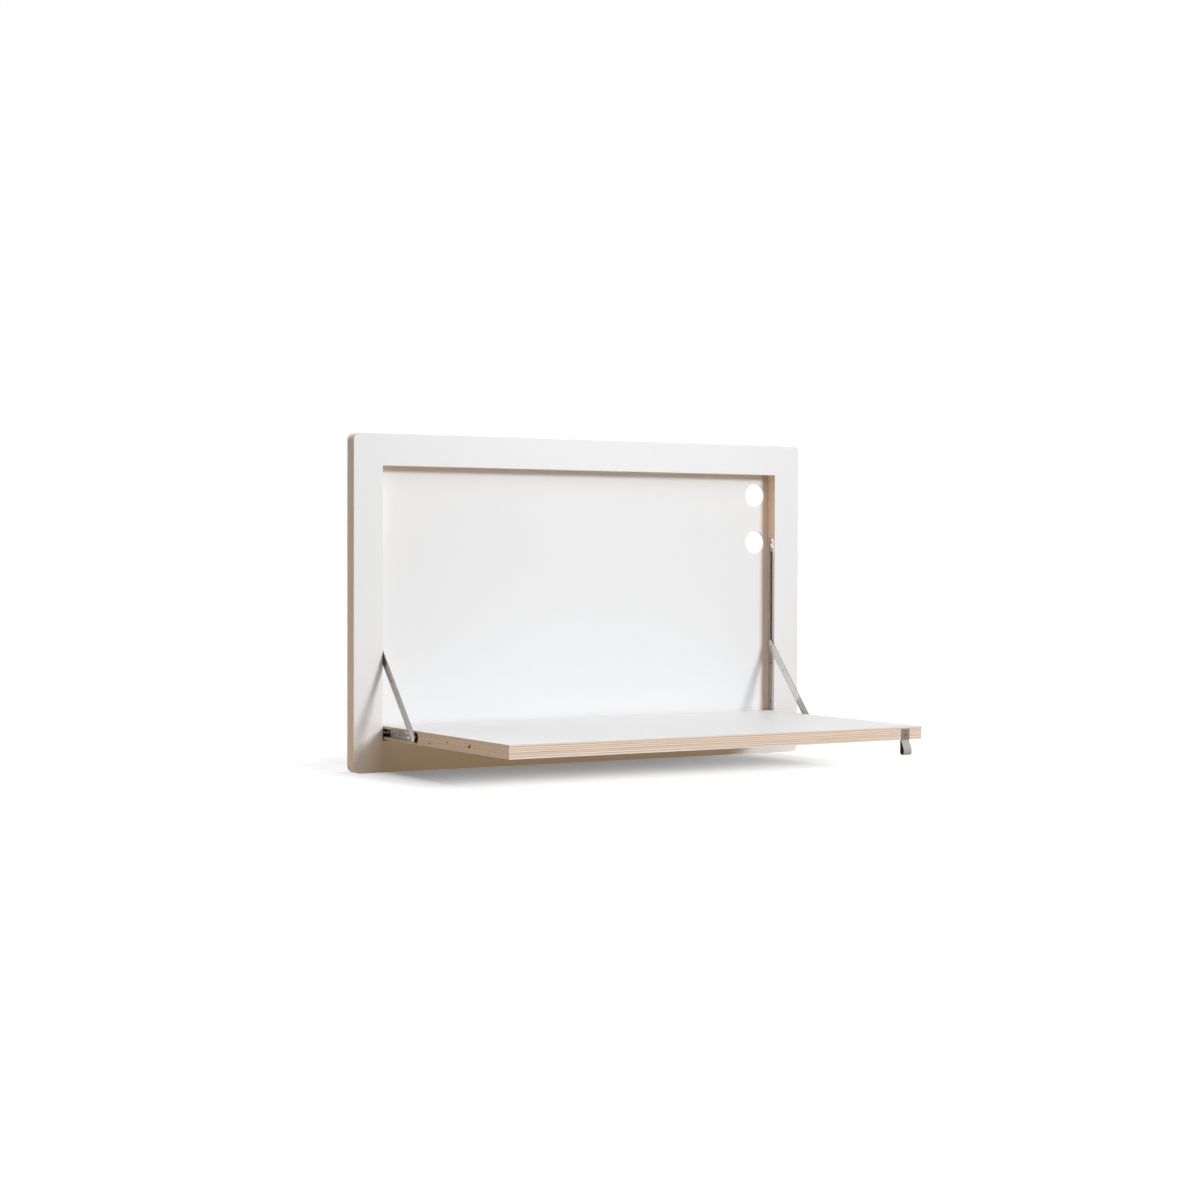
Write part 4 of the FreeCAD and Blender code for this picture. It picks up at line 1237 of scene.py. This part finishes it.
# %% The slotted rails
SLOT_WIDTH = 4.6 * MM
rail_width = rail_high.y - rail_low.y
rail_top = Vector((0, hinge.y, rail_high.z - rail_width / 2))
slot_top = arm_head + Z_AXIS * slider_travel
rail = flat_bar("rail", hinge, rail_top, rail_width, rail_low.x, rail_high.x)
slider_slot = flat_bar("slot", arm_head, slot_top, SLOT_WIDTH,
                       rail_low.x - PAST * MM, rail_high.x + PAST * MM)
cut(rail, slider_slot,
    *[countersink(face_centre(box, X_AXIS), X_AXIS) for box in right_ones("rail_screws")])
cut(rail, drill(level_with(hinge, rail_low.x), X_AXIS, PIN_R + 0.02, 4 * PAST))
eased(rail, 0.25 * MM)
pair(rail, "rail", "frame", "satin_steel", "stay_rail", upright_steel)

# %% [markdown]
# ## Hinge pins, bushes and sliders
#
# A pin is riveted into the foot of each rail and carries the leaf's hinge eye. A bush keeps the
# eye off the rail. The slider is a small mushroom whose head runs behind the rail. All are turned,
# since a plain cylinder would have none of the heads and chamfers, and each is measured from the
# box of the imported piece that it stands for.

# %% Turned pieces that fill their boxes
def round_size(box):
    """The length along X and the outer radius of a round piece, in mm."""
    low, high = box
    return (high.x - low.x) / MM, (high.z - low.z) / 2 / MM


def chamfered_ring(name, box, bore, chamfer):
    """A ring that fills a box, with chamfered rims. Its bore and its chamfer are in mm."""
    length, radius = round_size(box)
    stations = [(0, bore), (0, radius - chamfer), (chamfer, radius), (length - chamfer, radius),
                (length, radius - chamfer), (length, bore)]
    return smoothed(turned(name, face_centre(box, X_AXIS), X_AXIS, stations, ring=True))


print("a slider is", round(round_size((slider_low, slider_high))[0], 1), "mm long")

# %% Hinge pins and bushes
PIN_HEAD_R = 4.0
pin_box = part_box("right_hinge_pin")
pin_length = round_size(pin_box)[0]
pin = turned("pin", level_with(hinge, pin_box[0].x), X_AXIS,
             [(0, 2.6), (0.12, 3.4), (0.35, 3.85), (0.6, PIN_HEAD_R), (1.0, PIN_HEAD_R), (1.0, PIN_R),
              (pin_length - 0.3, PIN_R), (pin_length, PIN_R - 0.3)])
pair(smoothed(pin), "hinge_pin_turned", "frame", "satin_steel", "hinge_pin", level_steel)

bush = chamfered_ring("bush", right_ones("hinge_bushes")[0], PIN_R + 0.1, 0.3)
sharing_pair(bush, "bush", "frame", "satin_steel", "hinge_bushes", level_steel)

# %% Sliders
SLIDER_HEAD_T = 2.4
SLIDER_NECK_R = 2.1
slider_length, slider_head_r = round_size((slider_low, slider_high))
slider = turned("slider", level_with(arm_head, slider_high.x), -X_AXIS,
                [(0, slider_head_r - 0.4), (0.4, slider_head_r), (SLIDER_HEAD_T - 0.4, slider_head_r),
                 (SLIDER_HEAD_T, slider_head_r - 0.4), (SLIDER_HEAD_T, SLIDER_NECK_R),
                 (slider_length - 0.2, SLIDER_NECK_R), (slider_length, SLIDER_NECK_R - 0.2)])
pair(smoothed(slider), "slider_turned", ("left_slider", "right_slider"), "satin_steel", "slider",
     level_steel)

# %% [markdown]
# ## Stay arms
#
# Each arm is a flat bar from its foot rivet on the leaf to its head rivet on the slider, with a
# small open hole part of the way down. Its foot hole is countersunk from outside, because the arm
# folds away against the stile. Its two sides are painted brighter and darker for the light they
# reflect, its cut edges are darker, and the wall of the small hole is painted near black for the
# shade in it. One finish could tell them apart by place, but the arm turns, so its faces are told
# apart by the way they look and get finishes of their own.

# %% The arms
ARM_HOLE_R = 1.25
ARM_HOLE_FROM_HEAD = 56.3 * MM
RIVET_R = 2.0
SEAT_R = 3.8
arm_low, arm_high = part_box("right_stay_arm")
arm_width = 2 * (arm_high.z - arm_head.z)
arm = flat_bar("arm", arm_foot, arm_head, arm_width, arm_low.x, arm_high.x)
small_hole = arm_head + (arm_foot - arm_head).normalized() * ARM_HOLE_FROM_HEAD
for centre, radius in ((arm_foot, RIVET_R + 0.05), (arm_head, RIVET_R + 0.02), (small_hole, ARM_HOLE_R)):
    cut(arm, drill(level_with(centre, arm_low.x), X_AXIS, radius, 3 * PAST))
cut(arm, turned("foot_seat", level_with(arm_foot, arm_high.x), -X_AXIS,
                [(-0.5, SEAT_R), (1.1, RIVET_R + 0.05), (1.4, RIVET_R)]))
eased(arm, 0.18 * MM)
print("the small hole is", round(small_hole.z / MM, 1), "mm up")

# %% The arms' finishes
FLAT_SIDE = 0.6
CUT_EDGE = 1
RAIL_SIDE = 2
HOLE_WALL = 3


def at_cut_edge(face):
    """True for the narrow faces round the arm and in its holes."""
    return abs(face.normal.x) < FLAT_SIDE


def in_small_hole(face):
    """True for the wall of the small hole."""
    return at_cut_edge(face) and math.dist(face.center.yz, small_hole.yz) < (ARM_HOLE_R + 0.05) * MM


marked(arm, at_cut_edge, CUT_EDGE)
marked(arm, lambda face: face.normal.x > FLAT_SIDE, RAIL_SIDE)
# The wall of the small hole gets the painted shade.
marked(arm, in_small_hole, HOLE_WALL)
# The inner side is painted bright and the rail side dark, for the light they reflect.
pair(arm, "arm", ("left_arm", "right_arm"), "satin_steel", "stay_arm",
     painted_bright_steel, sheared_steel, painted_dark_steel, recess_painted_shade)

# %% Rivets and washers of the arms
FOOT_HEAD_R = 3.2
head_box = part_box("right_head_rivet")
head_length, head_r = round_size(head_box)
head_rivet = turned("head_rivet", level_with(arm_head, head_box[0].x), X_AXIS,
                    [(0, 1.7), (0.06, 2.5), (0.18, 3.1), (0.34, head_r - 0.1), (0.5, head_r),
                     (0.5, RIVET_R), (head_length, RIVET_R)])
pair(smoothed(head_rivet), "head_rivet_turned", ("left_arm", "right_arm"), "zinc_plated", "head_rivet",
     zinc)

foot_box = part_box("right_foot_rivet")
foot_length = round_size(foot_box)[0]
foot_rivet = turned("foot_rivet", level_with(arm_foot, foot_box[0].x), X_AXIS,
                    [(0, 2.6), (0.2, 3.3), (0.5, 3.5), (0.5, RIVET_R),
                     (foot_length - 1.1, RIVET_R), (foot_length - 0.08, FOOT_HEAD_R - 0.08),
                     (foot_length - 0.02, FOOT_HEAD_R - 0.3), (foot_length - 0.1, 1.1),
                     (foot_length - 0.3, 0.8)])
pair(smoothed(foot_rivet, 30), "foot_rivet_turned", "leaf", "zinc_plated", "foot_rivet", grey_zinc)

washer = chamfered_ring("washer", right_ones("foot_washers")[0], RIVET_R + 0.03, 0.15)
sharing_pair(washer, "washer", "leaf", "zinc_plated", "foot_washers", zinc)

# %% [markdown]
# ## Hinge plates
#
# The plate in the leaf's side edge is a flat bar too, but its hinge end lies deeper in the wood.
# A bend modifier would bow the whole bar, where a press makes two short bends. So the bar is cut
# across at the two bends with bisect, its end is moved inwards, and the bends are bevelled round.
# The whole plate is painted darker for the shade in the leaf's edge, and its hinge end, deeper in shade and
# greasy, is painted darker still in a finish of its own.

# %% The cranked plates
NEAR = 0.01 * MM
PLATE_T = 2.0 * MM
CRANK_START = 22.0 * MM
CRANK_END = 30.0 * MM
BEND_ROUNDING = 1.2 * MM
plate_low, plate_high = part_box("right_leaf_plate")
plate_width = plate_high.z - plate_low.z
set_back = plate_high.x - plate_low.x - PLATE_T
bends = (hinge.y - CRANK_START, hinge.y - CRANK_END)
plate = flat_bar("plate", hinge, arm_foot, plate_width, plate_high.x - PLATE_T, plate_high.x)
bpy.ops.object.mode_set(mode="EDIT")
for bend in bends:
    bpy.ops.mesh.select_all(action="SELECT")
    bpy.ops.mesh.bisect(plane_co=(0, bend, 0), plane_no=(0, 1, 0))
pick("VERT", lambda vert: vert.co.y > bends[0] - NEAR)
bpy.ops.transform.translate(value=(-set_back, 0, 0))


def on_a_bend(edge):
    """True for the upright edges across the plate at its two bends."""
    return all(min(abs(vert.co.y - bend) for bend in bends) < NEAR for vert in edge.verts) \
        and abs(edge.verts[0].co.x - edge.verts[1].co.x) < NEAR


pick("EDGE", on_a_bend)
bpy.ops.mesh.bevel(offset=BEND_ROUNDING, segments=4, affect="EDGES")
closed_up()
plate_cuts = [countersink(face_centre(box, -X_AXIS), -X_AXIS) for box in right_ones("leaf_plate_screws")]
for centre, radius in ((hinge, PIN_R + 0.05), (arm_foot, RIVET_R + 0.02)):
    plate_cuts.append(drill(level_with(centre, plate_low.x), X_AXIS, radius, 8 * PAST))
cut(plate, *plate_cuts)
eased(plate, 0.18 * MM)
marked(plate, lambda face: face.center.y > bends[1] + NEAR)
pair(plate, "hinge_plate", "leaf", "satin_steel", "leaf_plate", painted_shade_plate_steel, shaded_steel)

# %% [markdown]
# ## Catch magnets
#
# A round ferrite magnet sits in each side edge of the leaf and holds the closed leaf to the steel.
# Its rim is chamfered, and its face has the shallow dish that pressing leaves. So it is turned as
# the pins are, from the face inwards.

# %% The magnets
magnet_box = right_ones("catch_magnets")[0]
magnet_length, magnet_r = round_size(magnet_box)
magnet = turned("magnet", face_centre(magnet_box, -X_AXIS), -X_AXIS,
                [(0.12, 1.2), (0.08, 1.9), (0, magnet_r - 0.35), (0.35, magnet_r),
                 (magnet_length - 0.3, magnet_r), (magnet_length, magnet_r - 0.3)])
sharing_pair(smoothed(magnet), "magnet", "leaf", "ferrite", "catch_magnets", magnet_grey)

# %% [markdown]
# ## Keyhole hangers
#
# Two plates in the back hold the frame on the wall. The head of a wall screw goes in at the round
# hole, and the frame drops until the screw's neck sits at the top of the narrow slot. A keyhole
# could be traced as one outline, but three plain cutters make it with exact sizes: a wide hole, a
# block for the slot and a narrow hole at its top.

# %% The hanger plates
hanger_low, hanger_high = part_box("right_hanger_plate")
hanger_holes = next(mount for mount in frame["record"]["mounts"] if mount["name"] == "hanger_holes")
entry_r = hanger_holes["dims"]["hole_r_mm"]
entry_z = hanger_holes["pos_m"][2]
HANGER_CORNER_R = 3.0 * MM
NECK_R = 2.25
NECK_RISE = 10.0 * MM
block("hanger", (hanger_low + hanger_high) / 2, hanger_high - hanger_low)
pick("EDGE", parallel_to(Y_AXIS))
bpy.ops.mesh.bevel(offset=HANGER_CORNER_R, segments=8, affect="EDGES")
hanger = closed_up()
entry = Vector(((hanger_low.x + hanger_high.x) / 2, hanger_low.y, entry_z))
seat = entry + Z_AXIS * NECK_RISE
through = 5 * PAST
block("neck", (entry + seat) / 2, (2 * NECK_R * MM, 2 * through * MM, NECK_RISE))
hanger_cuts = [closed_up(), drill(entry, Y_AXIS, entry_r, through), drill(seat, Y_AXIS, NECK_R, through)]
hanger_cuts += [countersink(face_centre(box, -Y_AXIS), -Y_AXIS) for box in right_ones("hanger_screws")]
cut(hanger, *hanger_cuts)
eased(hanger, 0.2 * MM)
pair(hanger, "hanger", "frame", "zinc_plated", "hanger_plate", grey_zinc)

# %% [markdown]
# ## The pull strap
#
# A strip of leather is doubled under one screw in the leaf's front edge, and its loop hangs below
# for a finger. It is short and stiff, so it needs no simulation of cloth. The strip is drawn as a
# person would bend it: a narrow grid is the first straight part, and its lower edge is extruded
# along each straight and spun round each bend. Then Solidify gives it its thickness, with the
# flesh side and the cut edges as finishes of their own.

# %% Route of the strap
STRAP_T = 1.2 * MM
LAYER_GAP = 0.1 * MM
BEND_RADII = (9.0 * MM, 10.0 * MM)
BOTTOM_FLAT = 0.8 * MM
strap_low, strap_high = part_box("pull_strap")
back_y = strap_high.y - STRAP_T / 2
front_y = back_y - STRAP_T - LAYER_GAP
bulge_y = strap_low.y + STRAP_T / 2
bottom_z = strap_low.z + STRAP_T / 2
bottom_r = (back_y - bulge_y - BOTTOM_FLAT) / 2
corners = [Vector((0, front_y, strap_high.z)), Vector((0, front_y, under_z - 1.0 * MM)),
           Vector((0, bulge_y, bottom_z + 8.0 * MM)), Vector((0, bulge_y, bottom_z)),
           Vector((0, back_y, bottom_z)), Vector((0, back_y, strap_high.z))]
radii = (*BEND_RADII, bottom_r, bottom_r)
strap_bends = []
for before, corner, after, radius in zip(corners, corners[1:], corners[2:], radii):
    back = (before - corner).normalized()
    ahead = (after - corner).normalized()
    half = back.angle(ahead) / 2
    centre = corner + (back + ahead).normalized() * radius / math.sin(half)
    turn = math.pi - 2 * half
    sign = -1 if back.cross(ahead).x > 0 else 1
    strap_bends.append((corner + back * radius / math.tan(half), centre, sign * turn))
print("bends of", [round(math.degrees(turn)) for start, centre, turn in strap_bends], "degrees")

# %% The strip of leather
STRIPS_ACROSS = 8
STEPS_PER_BEND = 12
strap_x = (strap_low.x + strap_high.x) / 2
strap_width = strap_high.x - strap_low.x
let_go()
bpy.ops.mesh.primitive_grid_add(x_subdivisions=STRIPS_ACROSS, y_subdivisions=1, size=1,
                                rotation=(math.pi / 2, 0, 0))
strap = opened("strap")
first_end = strap_bends[0][0]
bpy.ops.mesh.select_all(action="SELECT")
bpy.ops.transform.resize(value=(strap_width, 1, corners[0].z - first_end.z), center_override=(0, 0, 0))
bpy.ops.transform.translate(value=(strap_x, front_y, (corners[0].z + first_end.z) / 2))
pick("EDGE", lambda edge: all(vert.co.z < first_end.z + NEAR for vert in edge.verts))
end = first_end
for start, centre, turn in strap_bends:
    if (start - end).length > NEAR:
        bpy.ops.mesh.extrude_edges_move(TRANSFORM_OT_translate={"value": start - end})
    bpy.ops.mesh.spin(steps=STEPS_PER_BEND, angle=-turn, center=centre + X_AXIS * strap_x, axis=X_AXIS)
    end = centre + Matrix.Rotation(turn, 3, "X") @ (start - centre)
bpy.ops.mesh.extrude_edges_move(TRANSFORM_OT_translate={"value": corners[-1] - end})
bpy.ops.mesh.select_all(action="SELECT")
bpy.ops.mesh.remove_doubles(threshold=NEAR)
bpy.ops.object.mode_set(mode="OBJECT")
print("strip of", len(strap.data.polygons), "faces", [round(v / MM, 1) for v in strap.dimensions])

# %% Thickness and edges of the strap
for finish in (leather_outside, leather_inside, leather_edge):
    strap.data.materials.append(finish)
modified(strap, "SOLIDIFY", thickness=STRAP_T, offset=0, material_offset=1, material_offset_rim=2)
eased(strap, 0.22 * MM)
fitted(strap, "leaf", "grey_leather", ["pull_strap"])
print("strap", [round(v / MM, 1) for v in strap.dimensions], "mm")

# %% The strap's screw
STRAP_HEAD_R = 2.8
STRAP_HEAD_T = 1.2
strap_screw_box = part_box("strap_screw")
screw_length = (strap_screw_box[1].y - strap_screw_box[0].y) / MM
strap_screw = turned("strap_screw_turned", Vector(), Z_AXIS,
                     [(0, 1.3), (0.12, 1.9), (0.4, 2.45), (0.8, 2.72), (STRAP_HEAD_T, STRAP_HEAD_R),
                      (STRAP_HEAD_T, SCREW_SHANK_R), (5.0, SCREW_SHANK_R), (5.4, SCREW_CORE_R),
                      (screw_length - SCREW_TIP, SCREW_CORE_R), (screw_length - 0.5, 0.3),
                      (screw_length, 0.05)])
cut(strap_screw, *drive_wedges())
marked(smoothed(strap_screw, 35), in_recess)
placed = set_in(strap_screw, "strap_screw_fitted", Y_AXIS, face_centre(strap_screw_box, Y_AXIS))
bpy.data.objects.remove(strap_screw)
fitted(placed, "leaf", "zinc_plated", ["strap_screw"], aged_zinc, recess_painted_shade)

# %% [markdown]
# ## The boards
#
# The frame, the leaf and the back panel are flat boards under thin laminate. They could be
# modelled again with bevels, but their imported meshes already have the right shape, with the
# frame's front edges eased. So they keep them, and take the laminate and the plywood.

# %% Dress the boards
FINISHES = {
    "frame_core": frame_birch, "leaf_core": leaf_birch, "back_panel_board": panel_birch,
    "frame_front_laminate": laminate, "frame_back_laminate": laminate,
    "back_panel_laminate": panel_laminate,
    "leaf_top_laminate": leaf_laminate, "leaf_under_laminate": leaf_laminate,
}
for node, finish in FINISHES.items():
    for material_slot in frame["nodes"][node].material_slots:
        material_slot.material = finish
print(len(FINISHES), "boards dressed")

# %% Put everything in its group of light
for thing in bpy.data.objects:
    if thing.type == "MESH":
        (lit_floor if thing is floor else lit_pieces).objects.link(thing)
